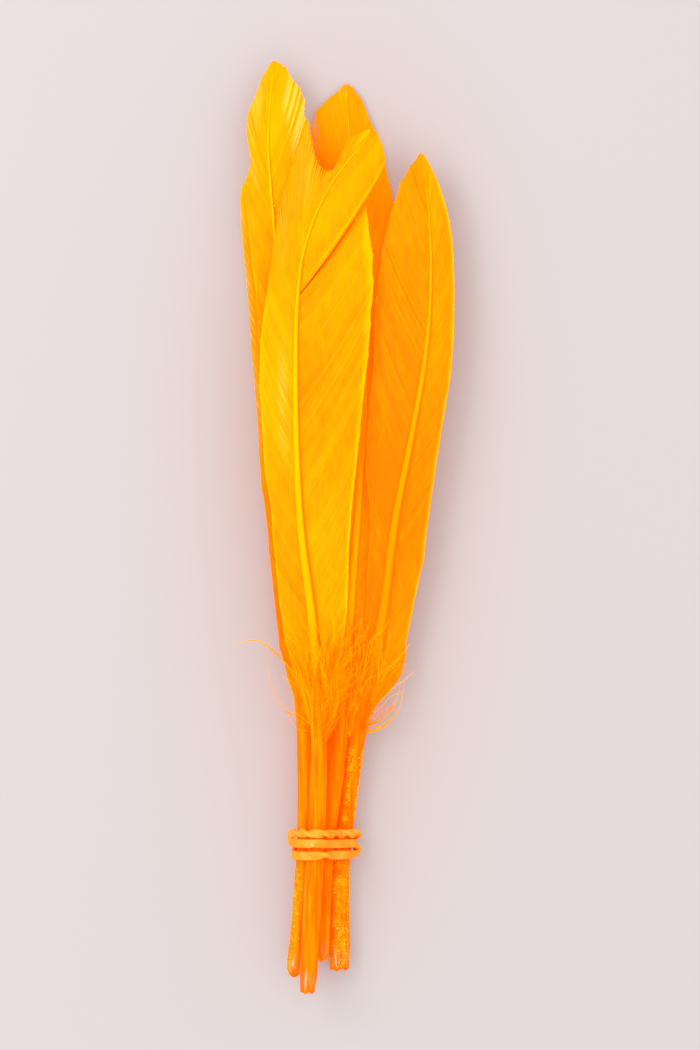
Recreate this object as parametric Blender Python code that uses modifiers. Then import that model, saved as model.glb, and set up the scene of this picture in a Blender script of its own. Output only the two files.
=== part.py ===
"""A bunch of five dyed goose quill feathers, tied near the cut ends with a rubber band and lying on a surface.

Each feather grew as one piece: a round quill that tapers into the shaft, with a thin vane on each side. The
quills lie side by side and on each other under the band, and the vanes fan out over each other, front feather
on top. The feathers point along +Y, the front of the bunch faces +Z, and the bunch rests on the plane Z = 0.
"""

import math
from bisect import bisect_right
from dataclasses import dataclass

import bmesh
import bpy
from mathutils import Vector

MM = 0.001

VANE_THICKNESS = 0.6 * MM
VANE_ROWS = 24  # barb rows from the foot of the vane to its tip
VANE_COLUMNS = 8  # across both sides of the vane
SHAFT_STATIONS = 26
SHAFT_SIDES_RESOLUTION = 2  # a bevel resolution of 2 gives a tube of 8 sides
VANE_DROOP = 8.5  # per metre: a vane falls below its shaft by this times the square of the distance from it

BAND_THICKNESS = 1.0 * MM
BAND_WIDTH = 1.5 * MM
BAND_CLEARANCE = 0.3 * MM  # from the quills to the band
BAND_STATIONS = 132
QUILLS_MEET_Y = -63.0 * MM
FLOOR_BLOCK = (30 * MM, 20 * MM, 4 * MM)  # what the band's underside is cut flat with

# The band's way round the quills, seen from the cut ends: (angle in degrees, y in mm, mm that it stands off).
# The angle is 180 at the left, 90 on top and 0 at the right. The band loops back at the left and at the right.
BAND_ROUTE = (
    (190, -62.2, 0.9), (170, -61.35, 0.5), (140, -61.15, 0.1), (90, -61.25, 0.0), (45, -61.35, 0.0),
    (5, -61.5, 0.2), (-40, -61.9, 0.1), (-90, -62.8, 0.0), (-140, -64.4, 0.0), (-180, -65.5, 0.1),
    (-225, -65.7, 0.0), (-270, -65.6, 0.0), (-315, -65.6, 0.0), (-352, -65.4, 0.1), (-374, -64.5, 0.35),
    (-352, -63.6, 0.15), (-315, -63.3, 0.0), (-270, -63.2, 0.0), (-225, -63.25, 0.1), (-192, -63.1, 0.5),
)

# Radius along a feather, as a share of its quill's radius: (share of the length from the cut end, radius)
SHAFT_TAPER = (
    (0.0, 0.80), (0.02, 0.97), (0.15, 1.0), (0.30, 0.88), (0.38, 0.68),
    (0.46, 0.53), (0.56, 0.43), (0.70, 0.33), (0.86, 0.19), (1.0, 0.10),
)

ORANGE_VANE = (1.0, 0.40, 0.004, 1.0)
BAND_ORANGE = (1.0, 0.33, 0.05, 1.0)


@dataclass
class Feather:
    """One feather. Lengths are in millimetres here and angles in degrees.

    route: points on the shaft's axis, from the quill's cut end to the end of the shaft
    quill: the quill's radius; foot: the share of the route where the vane starts
    left, right: (share of the vane's length, length of the barb that starts there, its angle from the shaft)
    roll: how far the whole vane leans, positive with its right side down
    """

    name: str
    route: tuple
    quill: float
    foot: float
    left: tuple
    right: tuple
    roll: float = 0.0
    taper: tuple = SHAFT_TAPER


FEATHERS = (
    Feather(
        name="front_feather",
        route=(
            (-7.8, -92.9, 8.4), (-7.1, -81.0, 8.6), (-6.6, -72.0, 8.85), (-6.0, -63.0, 9.05), (-5.6, -51.0, 9.25),
            (-5.5, -42.0, 9.4), (-6.5, -21.0, 10.0), (-9.2, 2.0, 10.6), (-10.1, 30.0, 10.9), (-9.2, 51.0, 10.7),
            (-6.5, 61.0, 10.3), (-3.1, 68.0, 9.8), (1.2, 73.8, 9.0), (4.6, 77.8, 8.2),
        ),
        quill=1.8,
        foot=0.315,
        left=(
            (0.0, 7.0, 46), (0.03, 11.0, 36), (0.11, 12.8, 28), (0.21, 14.1, 26), (0.36, 17.5, 24),
            (0.55, 17.3, 24), (0.70, 16.7, 24), (0.80, 12.6, 24), (0.86, 8.5, 16), (0.94, 5.6, 12), (1.0, 0.3, 40),
        ),
        right=(
            (0.0, 7.0, 50), (0.04, 11.0, 40), (0.18, 16.0, 34), (0.25, 22.0, 32), (0.35, 28.0, 31),
            (0.46, 29.0, 31), (0.60, 26.0, 30), (0.72, 22.6, 28), (0.80, 17.0, 24), (0.88, 11.4, 20),
            (0.95, 6.4, 17), (1.0, 0.3, 40),
        ),
    ),
    Feather(
        name="tall_left_feather",
        route=(
            (-10.6, -90.1, 4.6), (-9.5, -82.0, 4.7), (-8.7, -72.0, 5.2), (-8.15, -63.0, 5.8), (-8.1, -51.0, 6.2),
            (-8.5, -38.0, 6.7), (-9.6, -20.0, 7.0), (-11.1, 12.0, 7.3), (-12.7, 42.0, 7.4), (-14.5, 61.0, 7.0),
            (-15.6, 77.0, 6.3), (-14.5, 92.7, 4.9),
        ),
        quill=1.75,
        foot=0.30,
        left=(
            (0.0, 5.0, 46), (0.04, 8.0, 34), (0.12, 10.5, 27), (0.24, 13.4, 22), (0.45, 14.2, 21),
            (0.68, 15.0, 21), (0.76, 12.2, 20), (0.82, 12.6, 19), (0.90, 10.0, 15), (0.96, 5.4, 14), (1.0, 0.3, 40),
        ),
        right=(
            (0.0, 5.0, 46), (0.04, 9.0, 38), (0.12, 13.0, 33), (0.28, 18.4, 30), (0.55, 19.6, 29),
            (0.74, 19.0, 28), (0.82, 16.0, 26), (0.90, 11.6, 23), (0.96, 5.8, 17), (1.0, 0.3, 40),
        ),
    ),
    Feather(
        name="right_feather",
        route=(
            (-1.4, -88.5, 2.55), (-1.6, -80.0, 2.55), (-1.5, -71.0, 2.7), (-0.7, -63.0, 3.05), (0.7, -51.0, 3.4),
            (1.95, -42.0, 4.0), (4.5, -31.0, 4.9), (7.2, -18.5, 5.8), (9.8, 1.0, 6.6), (13.1, 18.0, 7.1),
            (15.9, 34.5, 7.3), (16.9, 50.0, 7.1), (16.4, 63.0, 6.7), (15.1, 74.0, 6.0),
        ),
        quill=2.2,
        foot=0.315,
        left=(
            (0.0, 3.0, 45), (0.11, 3.1, 40), (0.20, 7.1, 36), (0.28, 7.9, 34), (0.32, 14.0, 32),
            (0.42, 18.6, 31), (0.58, 21.5, 30), (0.72, 17.9, 28), (0.81, 14.4, 25), (0.88, 11.0, 20),
            (0.95, 5.6, 14), (1.0, 0.3, 40),
        ),
        right=(
            (0.0, 7.0, 50), (0.04, 10.0, 38), (0.11, 12.8, 29), (0.16, 15.0, 26), (0.35, 15.0, 22),
            (0.48, 15.4, 21), (0.60, 14.2, 20), (0.74, 13.4, 19), (0.86, 10.3, 14), (0.95, 5.6, 12), (1.0, 0.3, 40),
        ),
        taper=(
            (0.0, 0.86), (0.025, 1.0), (0.09, 0.98), (0.15, 0.81), (0.22, 0.82), (0.30, 0.85), (0.38, 0.62),
            (0.46, 0.45), (0.56, 0.36), (0.70, 0.27), (0.86, 0.17), (1.0, 0.09),
        ),
    ),
    Feather(
        name="back_feather",
        route=(
            (-4.9, -87.0, 5.1), (-4.8, -80.0, 5.4), (-4.5, -71.0, 5.6), (-3.9, -63.0, 5.6), (-2.6, -51.0, 5.5),
            (-1.75, -42.0, 5.35), (-0.6, -32.0, 4.9), (0.7, -17.0, 4.2), (2.5, 5.0, 3.2), (3.7, 25.0, 2.4),
            (2.9, 45.0, 1.7), (1.3, 69.0, 1.2), (-0.1, 87.4, 0.8),
        ),
        quill=2.1,
        foot=0.31,
        left=(
            (0.0, 3.0, 46), (0.05, 6.0, 40), (0.12, 10.5, 34), (0.23, 15.5, 31), (0.42, 17.5, 30),
            (0.66, 16.8, 30), (0.81, 16.0, 29), (0.88, 13.0, 25), (0.93, 9.2, 19), (0.97, 5.0, 16), (1.0, 0.3, 40),
        ),
        right=(
            (0.0, 3.0, 46), (0.05, 5.0, 40), (0.14, 9.0, 32), (0.27, 14.0, 29), (0.49, 17.0, 28),
            (0.70, 16.6, 28), (0.80, 14.5, 25), (0.88, 11.0, 20), (0.95, 6.0, 15), (1.0, 0.3, 40),
        ),
        taper=(
            (0.0, 0.61), (0.02, 0.72), (0.13, 0.76), (0.22, 0.95), (0.30, 0.97), (0.38, 0.63),
            (0.46, 0.45), (0.56, 0.36), (0.70, 0.27), (0.86, 0.18), (1.0, 0.10),
        ),
    ),
    Feather(
        name="low_left_feather",
        route=(
            (-7.0, -86.0, 1.9), (-6.9, -78.0, 1.9), (-6.7, -70.0, 2.2), (-6.6, -63.0, 2.5), (-7.2, -52.0, 2.6),
            (-8.0, -44.0, 2.6), (-9.6, -31.0, 2.5), (-12.6, -10.0, 2.3), (-15.0, 13.0, 2.0), (-17.1, 40.0, 1.7),
            (-19.1, 57.0, 1.4), (-20.5, 68.3, 0.9),
        ),
        quill=1.6,
        foot=0.33,
        left=(
            (0.0, 3.0, 40), (0.10, 5.0, 25), (0.30, 6.4, 20), (0.60, 7.4, 20), (0.85, 6.4, 17), (0.95, 3.6, 12),
            (1.0, 0.3, 40),
        ),
        right=(
            (0.0, 3.0, 46), (0.06, 6.0, 38), (0.20, 12.0, 31), (0.45, 15.0, 28), (0.70, 14.5, 28),
            (0.85, 11.0, 24), (0.93, 7.4, 17), (1.0, 0.3, 40),
        ),
        roll=6.0,
    ),
)


def smoothstep(low, high, value):
    """0 below low, 1 above high, and an even rise between them."""
    share = min(1.0, max(0.0, (value - low) / (high - low)))
    return share * share * (3 - 2 * share)


def profile(table, share):
    """The table's values at a share, run smoothly through its rows. A row is (share, value, ...)."""
    rows = [row[0] for row in table]
    i = min(max(bisect_right(rows, share) - 1, 0), len(table) - 2)
    step = smoothstep(rows[i], rows[i + 1], share)
    even = min(1.0, max(0.0, (share - rows[i]) / (rows[i + 1] - rows[i])))
    mix = 0.5 * (step + even)
    return [a + (b - a) * mix for a, b in zip(table[i][1:], table[i + 1][1:])]


def catmull_rom(points, steps=12):
    """A smooth line through the points, as a list of Vectors."""
    ends = [2 * points[0] - points[1], *points, 2 * points[-1] - points[-2]]
    line = []
    for p0, p1, p2, p3 in zip(ends, ends[1:], ends[2:], ends[3:]):
        m1 = (p2 - p0) * (p2 - p1).length / ((p2 - p1).length + (p1 - p0).length)
        m2 = (p3 - p1) * (p2 - p1).length / ((p3 - p2).length + (p2 - p1).length)
        for k in range(steps):
            t = k / steps
            line.append(
                p1 * (2 * t**3 - 3 * t**2 + 1) + m1 * (t**3 - 2 * t**2 + t)
                + p2 * (3 * t**2 - 2 * t**3) + m2 * (t**3 - t**2)
            )
    return [*line, points[-1].copy()]


class Shaft:
    """A feather's axis by share of its length, with the sideways and upward directions of its vane."""

    def __init__(self, route, roll):
        self.line = catmull_rom([Vector(p) * MM for p in route])
        self.at = [0.0]
        for a, b in zip(self.line, self.line[1:]):
            self.at.append(self.at[-1] + (b - a).length)
        self.length = self.at[-1]
        self.roll = math.radians(roll)

    def point(self, distance):
        """The place at a distance from the cut end. Past either end the axis runs on straight."""
        i = min(max(bisect_right(self.at, distance) - 1, 0), len(self.line) - 2)
        share = (distance - self.at[i]) / (self.at[i + 1] - self.at[i])
        return self.line[i].lerp(self.line[i + 1], share)

    def directions(self, distance):
        """(right, up) across the vane at a distance from the cut end."""
        reach = 1.5 * MM
        along = (self.point(distance + reach) - self.point(distance - reach)).normalized()
        right = along.cross(Vector((0, 0, 1))).normalized()
        up = right.cross(along)
        return (
            right * math.cos(self.roll) - up * math.sin(self.roll),
            up * math.cos(self.roll) + right * math.sin(self.roll),
        )


def radius_at(feather, share):
    """The radius of a feather's quill or shaft at a share of its length."""
    return feather.quill * MM * profile(feather.taper, share)[0]


def vane_point(feather, shaft, share, across):
    """A point of the vane: share is where its barb starts, and across runs from -1, left edge, to 1, right edge."""
    barb, angle = profile(feather.right if across > 0 else feather.left, share)
    reach = barb * MM * abs(across)
    foot = feather.foot * shaft.length
    start = foot + share * (shaft.length - foot)
    forward = reach * math.cos(math.radians(angle))
    sideways = math.copysign(reach * math.sin(math.radians(angle)), across)
    right, up = shaft.directions(start + forward)
    return shaft.point(start + forward) + right * sideways - up * VANE_DROOP * sideways**2


def material(name, colour, roughness):
    """A Principled material, shared by the pieces that have this finish."""
    found = bpy.data.materials.get(name)
    if found:
        return found
    made = bpy.data.materials.new(name)
    made.use_nodes = True
    principled = made.node_tree.nodes["Principled BSDF"]
    principled.inputs["Base Color"].default_value = colour
    principled.inputs["Roughness"].default_value = roughness
    principled.inputs["Metallic"].default_value = 0.0
    return made


def new_object(name, data, collection):
    made = bpy.data.objects.new(name, data)
    collection.objects.link(made)
    return made


def tube(name, points, radii, collection, cyclic=False):
    """A round tube along the points, as a welded mesh object."""
    curve = bpy.data.curves.new(name, "CURVE")
    curve.dimensions = "3D"
    curve.bevel_depth = 1.0
    curve.bevel_resolution = SHAFT_SIDES_RESOLUTION
    curve.use_fill_caps = True
    spline = curve.splines.new("POLY")
    spline.points.add(len(points) - 1)
    for target, point, radius in zip(spline.points, points, radii):
        target.co = (*point, 1.0)
        target.radius = radius
    spline.use_cyclic_u = cyclic
    guide = new_object(name + "_guide", curve, collection)
    bpy.context.view_layer.update()
    graph = bpy.context.evaluated_depsgraph_get()
    mesh = bpy.data.meshes.new_from_object(guide.evaluated_get(graph))
    bpy.data.objects.remove(guide)
    welded = bmesh.new()
    welded.from_mesh(mesh)
    bmesh.ops.remove_doubles(welded, verts=welded.verts, dist=0.001 * MM)
    bmesh.ops.recalc_face_normals(welded, faces=welded.faces)
    welded.to_mesh(mesh)
    welded.free()
    return new_object(name, mesh, collection)


def vane(feather, shaft, collection):
    """Both sides of the vane as one curved sheet, with its thickness."""
    sheet = bmesh.new()
    bmesh.ops.create_grid(sheet, x_segments=VANE_COLUMNS, y_segments=VANE_ROWS, size=1.0)
    for vertex in sheet.verts:
        vertex.co = vane_point(feather, shaft, (vertex.co.y + 1) / 2, vertex.co.x)
    bmesh.ops.recalc_face_normals(sheet, faces=sheet.faces)
    mesh = bpy.data.meshes.new(feather.name + "_vane")
    sheet.to_mesh(mesh)
    sheet.free()
    made = new_object(feather.name + "_vane", mesh, collection)
    thicken = made.modifiers.new("Vane thickness", "SOLIDIFY")
    thicken.thickness = VANE_THICKNESS
    thicken.offset = 0.0
    return made


def build_feather(feather, parts, cutters):
    """Quill, shaft and vane in one solid."""
    shaft = Shaft(feather.route, feather.roll)
    stations = [shaft.length * i / (SHAFT_STATIONS - 1) for i in range(SHAFT_STATIONS)]
    radii = [radius_at(feather, distance / shaft.length) for distance in stations]
    made = tube(feather.name, [shaft.point(d) for d in stations], radii, parts)
    sheet = vane(feather, shaft, cutters)
    sheet.hide_render = True
    sheet.display_type = "WIRE"
    join = made.modifiers.new("Vane", "BOOLEAN")
    join.operation = "UNION"
    join.object = sheet
    made.data.shade_smooth()
    made.data.materials.append(material("dyed feather", ORANGE_VANE, 0.55))
    return made


def quills_at(y):
    """((x, z), radius) of each quill where it crosses a plane of constant y."""
    found = []
    for feather in FEATHERS:
        shaft = Shaft(feather.route, feather.roll)
        i = next(i for i, point in enumerate(shaft.line) if point.y > y)
        share = (y - shaft.line[i - 1].y) / (shaft.line[i].y - shaft.line[i - 1].y)
        place = shaft.line[i - 1].lerp(shaft.line[i], share)
        found.append((Vector((place.x, place.z)), radius_at(feather, shaft.at[i] / shaft.length)))
    return found


def band_route():
    """The band's centre line: each place on the route is a belt round the quills, stood off by so much."""
    quills = quills_at(QUILLS_MEET_Y)
    turned = Vector((BAND_ROUTE[0][0] - 360.0, *BAND_ROUTE[0][1:]))
    line = catmull_rom([Vector(place) for place in (*BAND_ROUTE, turned)])
    route = []
    for i in range(BAND_STATIONS):
        at = i / BAND_STATIONS * (len(line) - 1)
        angle, y, stand_off = line[int(at)].lerp(line[int(at) + 1], at - int(at))
        outward = Vector((math.cos(math.radians(angle)), math.sin(math.radians(angle))))
        centre, radius = max(quills, key=lambda quill: quill[0].dot(outward) + quill[1])
        place = centre + outward * (radius + BAND_CLEARANCE + BAND_THICKNESS / 2 + stand_off * MM)
        route.append(Vector((place.x, y * MM, place.y)))
    return route


def build_band(parts, cutters):
    """The rubber band, pressed flat where the bunch rests on it."""
    route = band_route()
    made = tube("rubber_band", route, [BAND_THICKNESS / 2] * len(route), parts, cyclic=True)
    for vertex in made.data.vertices:
        nearest = min(route, key=lambda point: (point - vertex.co).length_squared)
        vertex.co.y = nearest.y + (vertex.co.y - nearest.y) * BAND_WIDTH / BAND_THICKNESS
    middle = sum(point.x for point in route) / len(route)
    bpy.ops.mesh.primitive_cube_add(size=1.0, location=(middle, QUILLS_MEET_Y, -FLOOR_BLOCK[2] / 2))
    floor = bpy.context.active_object
    floor.name = "floor_cutter"
    floor.scale = FLOOR_BLOCK
    for collection in floor.users_collection:
        collection.objects.unlink(floor)
    cutters.objects.link(floor)
    floor.hide_render = True
    floor.display_type = "WIRE"
    press = made.modifiers.new("Pressed flat", "BOOLEAN")
    press.operation = "DIFFERENCE"
    press.object = floor
    made.data.shade_smooth()
    made.data.materials.append(material("orange rubber", BAND_ORANGE, 0.45))
    return made


def main():
    for leftover in list(bpy.data.objects):
        bpy.data.objects.remove(leftover)
    parts = bpy.data.collections.new("goose_feather_bunch")
    cutters = bpy.data.collections.new("cutters")
    bpy.context.scene.collection.children.link(parts)
    bpy.context.scene.collection.children.link(cutters)
    for feather in FEATHERS:
        build_feather(feather, parts, cutters)
    build_band(parts, cutters)


main()
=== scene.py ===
"""A bunch of dyed goose quill feathers, tied with a rubber band and lying on a pale table.

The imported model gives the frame: five feathers and the band, in metres, with the tips towards +Y and the
fronts of the vanes facing +Z. Here each feather is grown again from its real parts: a horny quill that runs
into the shaft, hundreds of barbs on each side, and loose down at the foot of the vane.
"""

import math
from dataclasses import dataclass

import bpy
import numpy as np
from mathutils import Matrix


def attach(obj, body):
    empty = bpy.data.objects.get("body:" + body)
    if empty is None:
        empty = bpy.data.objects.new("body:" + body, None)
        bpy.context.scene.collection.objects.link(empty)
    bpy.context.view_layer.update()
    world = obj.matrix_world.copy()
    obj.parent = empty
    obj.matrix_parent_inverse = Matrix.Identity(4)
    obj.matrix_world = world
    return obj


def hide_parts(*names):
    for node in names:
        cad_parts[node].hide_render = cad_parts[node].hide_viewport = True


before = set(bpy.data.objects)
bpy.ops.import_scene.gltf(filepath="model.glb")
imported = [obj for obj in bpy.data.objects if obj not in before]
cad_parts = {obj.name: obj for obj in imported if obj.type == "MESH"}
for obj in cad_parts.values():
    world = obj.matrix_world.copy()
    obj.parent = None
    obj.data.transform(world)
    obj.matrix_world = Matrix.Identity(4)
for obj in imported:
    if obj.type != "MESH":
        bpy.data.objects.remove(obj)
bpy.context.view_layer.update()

bl_info = {
    "name": "Goose feather bunch",
    "version": (1, 0, 0),
    "blender": (4, 5, 0),
    "location": "View3D > Sidebar > Feathers",
    "description": "Builds a tied bunch of dyed goose quill feathers",
    "category": "Add Mesh",
}

MM = 0.001
UP = np.array((0.0, 0.0, 1.0))

# How far a barb leans out from the shaft, in degrees: (share of the vane's length where the barb ends, lean)
BARB_LEAN = ((0.0, 55.0), (0.06, 44.0), (0.16, 35.0), (0.5, 31.0), (0.8, 28.0), (0.92, 22.0), (1.0, 12.0))
NARROW_LEAN = 0.8  # the lean on a feather's narrow side, as a share of that
VANE_DROOP = 8.5  # per metre: a vane falls below its shaft by this times the square of the distance from it
VANE_WAVES = (9 * MM, 4.1 * MM)  # lengths of the two waves that run along a vane
VANE_WAVE_HEIGHT = 0.14 * MM
LOWEST_BARB = 0.2 * MM  # no barb's centre line comes lower than this
BARB_POINTS = 15
BARB_BOW = 0.022  # how far a barb bows out from a straight line, as a share of its length
BARB_ROOT = 0.8  # how far from the axis a barb starts, as a share of the shaft's radius
BARB_SINK = 0.05  # how far below the axis, in the same way
BARB_TILT = 0.16  # how far a barb is turned over, like a slat, in radians
BARB_TIP = (0.55, 10)  # how much of its width a barb loses at its tip, and how late
CLUMP_SIZES = (5, 20)  # barbs that hang together: fewest, and one more than the most
DRAWN_CLUMPS = 0.16  # share of the clumps that draw together and leave a gap
CLUMP_PULL = (0.02, 0.14)  # how far a clump draws together: every one, and the strongest more than that

# How uneven the barbs are: (spread of the single barbs, spread of whole clumps)
LENGTH_SPREAD = (0.003, 0.004)
DYE_SPREAD = (0.4, 0.22)
LIFT_SPREAD = (0.01 * MM, 0.015 * MM)
TILT_SPREAD = (0.03, 0.04)
WEAR_SPREAD = (0.5, 0.12)
DYE_CONTRAST = 0.13  # how much the spread in dye shows
PATCH_FADE = (0.05, 0.18)  # how softly a patch of wear or of painted light and shade ends: share of the vane, share of the barb

DOWN_POINTS = 24
DOWN_ZONE = (10.0, 5.5)  # down grows over this many mm, from so many mm before the foot of the vane
DOWN_LENGTH = (5.0, 13.0)  # mm: the shortest, and the longest more than that
DOWN_BEND = 34  # spread of a strand's bend in degrees
DOWN_RISE = (0.5, 1.7)  # mm that a strand rises
DOWN_WOBBLE = (0.05, 0.3)  # radians
DOWN_WAVES = (0.8, 2.6)  # waves along a strand
DOWN_ROOT = 0.6  # how far to the side and up a strand starts, as a share of the shaft's radius
DOWN_DYE = (0.45, 0.65)  # how yellow: the middle, and the spread
DOWN_TAPER = (1.35, 0.85)  # thickness at the root, and what it loses to the tip
STRAY_TIP = 0.8  # thickness of a single loose barb at its tip
STRAY_DYE = 0.3
STRAY_FLUFF = 0.3  # how long its barbules are, as a share of those on the down
STRAY_ALONG = 0.99  # where it reads the maps
MAP_MARGIN = 0.02  # left clear round a map

SHAFT_SIDES = 20
SHAFT_STEP = 1.0 * MM
END_LENGTH = 3 * MM  # the quill's end, with its rings closer together
END_RINGS = 9
ROUND_END = 2.4 * MM
UNEVEN_QUILL = 0.012  # how much a quill's radius varies
UNEVEN_LENGTH = 6.3 * MM  # how far along it the radius takes to change
BARE_FADE = (6 * MM, 16 * MM)  # grooves end from so far before the foot of the vane, over so much
CLEAR_OF_FOOT = 20 * MM  # past this, flakes have fallen on the vane beside the shaft too
# The hollow of a cut quill, its bottom first: (mm from the cut, thickness of the wall in mm)
QUILL_HOLLOW = np.array(((4.5, 0.45), (4.2, 0.30), (3.0, 0.26), (1.0, 0.24), (0.15, 0.20), (0.0, 0.10)))
RAGGED_CUT = ((0.28, 2, 0.6), (0.14, 5, 2.0), (0.1, 9, 0.0))  # (height in mm, waves round the cut, start)
RAGGED_LENGTH = 1.6 * MM

# Radius along a feather, as a share of its quill's radius: (share of the length from the cut end, radius)
SHAFT_TAPER = (
    (0.0, 0.80), (0.02, 0.97), (0.15, 1.0), (0.30, 0.88), (0.38, 0.66),
    (0.46, 0.52), (0.56, 0.42), (0.70, 0.32), (0.86, 0.17), (1.0, 0.05),
)
WAIST_TAPER = (
    (0.0, 0.61), (0.02, 0.72), (0.13, 0.76), (0.22, 0.95), (0.30, 0.97), (0.38, 0.62),
    (0.46, 0.44), (0.56, 0.34), (0.70, 0.25), (0.86, 0.13), (1.0, 0.05),
)
THICK_TAPER = (
    (0.0, 0.86), (0.025, 1.0), (0.09, 0.98), (0.15, 0.81), (0.22, 0.82), (0.30, 0.85), (0.38, 0.62),
    (0.46, 0.44), (0.56, 0.35), (0.70, 0.26), (0.86, 0.14), (1.0, 0.04),
)

BAND_THICKNESS = 0.95 * MM
BAND_WIDTH = 1.8 * MM
BAND_CLEARANCE = 0.1 * MM  # from the quills to the band
BAND_POINTS = 480
BAND_EASE = 4  # points on each side over which the band's bends are eased
QUILLS_MEET_Y = -63.0 * MM

TABLE_SIZE = 3.0
TABLE_DROP = 0.05 * MM  # how far below Z = 0 the table lies
KEY_SIZE = 0.45
KEY_PLACE = (-0.52, 0.34, 0.62)
GLINT_SIZE = 0.05
GLINT_PLACE = (-0.46, -0.215, 0.7)
FILL_COLOUR = (1.0, 0.985, 0.98, 1.0)
CAMERA_CENTRE = (0.7 * MM, 0.2 * MM)
CAMERA_REACH = 10.0

# The band's way round the quills, seen from the cut ends: (angle in degrees, y in mm, mm that it stands off).
# The angle is 180 at the left, 90 on top and 0 at the right.
BAND_ROUTE = (
    (190, -62.2, 0.9), (170, -61.35, 0.5), (140, -61.15, 0.1), (90, -61.25, 0.0), (45, -61.35, 0.0),
    (5, -61.5, 0.2), (-40, -61.9, 0.1), (-90, -62.8, 0.0), (-140, -64.4, 0.0), (-180, -65.5, 0.1),
    (-225, -65.7, 0.0), (-270, -65.6, 0.0), (-315, -65.6, 0.0), (-352, -65.4, 0.1), (-374, -64.5, 0.35),
    (-352, -63.6, 0.15), (-315, -63.3, 0.0), (-270, -63.2, 0.0), (-225, -63.25, 0.1), (-192, -63.1, 0.5),
)
# The band's half turns of twist: (share of its length, half turns so far)
BAND_TWIST = (
    (0.0, 0.0), (0.03, 0.1), (0.07, 1.0), (0.11, 2.0), (0.15, 3.0), (0.19, 4.0), (0.23, 5.0), (0.27, 6.0),
    (0.52, 6.0), (0.57, 6.15), (0.63, 7.0), (0.72, 7.25), (0.78, 7.0), (1.0, 7.0),
)


@dataclass
class Feather:
    """One feather. Lengths are in millimetres and angles in degrees.

    route: points on the shaft's axis, from the quill's cut end to the end of the shaft
    quill: the quill's radius; foot: the share of the route where the vane starts
    left, right: points on the vane's edges seen from above, foot to tip: x, y, and the y of the barb's root
        if it doesn't lean as BARB_LEAN says
    narrow: the side, -1 left or 1 right, whose barbs lean out less
    dye: how yellow each side is, 0 deep orange to 1: (share of the vane's length, left side, right side);
    partly the dye's own tone and partly painted light and shade, set for how the light falls on each side and
    stretch
    cut: how the quill ends, "open" where it was cut across or "round" where it is whole
    pale: worn streaks: (side, share of the vane from, to, share of its barbs from, to, strength)
    painted_light_and_shade: painted highlights and painted shade, yellower where the strength is positive and
    deeper where it is negative, with columns as in pale
    parted: where barbs have parted: (side, y of the roots from, to)
    grooves: along the bare quill: (angle round it in degrees, depth, width in radians)
    scurf: flakes left on it: (y from, to, angle round the shaft, half the patch's width in degrees, strength)
    down: how many loose barbs of down; down_side: how far they stray to (left, right), in degrees
    """

    name: str
    route: tuple
    quill: float
    foot: float
    left: tuple
    right: tuple
    narrow: int
    dye: tuple
    cut: str
    roll: float = 0.0
    taper: tuple = SHAFT_TAPER
    pale: tuple = ()
    painted_light_and_shade: tuple = ()
    parted: tuple = ()
    grooves: tuple = ()
    scurf: tuple = ()
    down: int = 30
    down_side: tuple = (24.0, 24.0)


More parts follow.
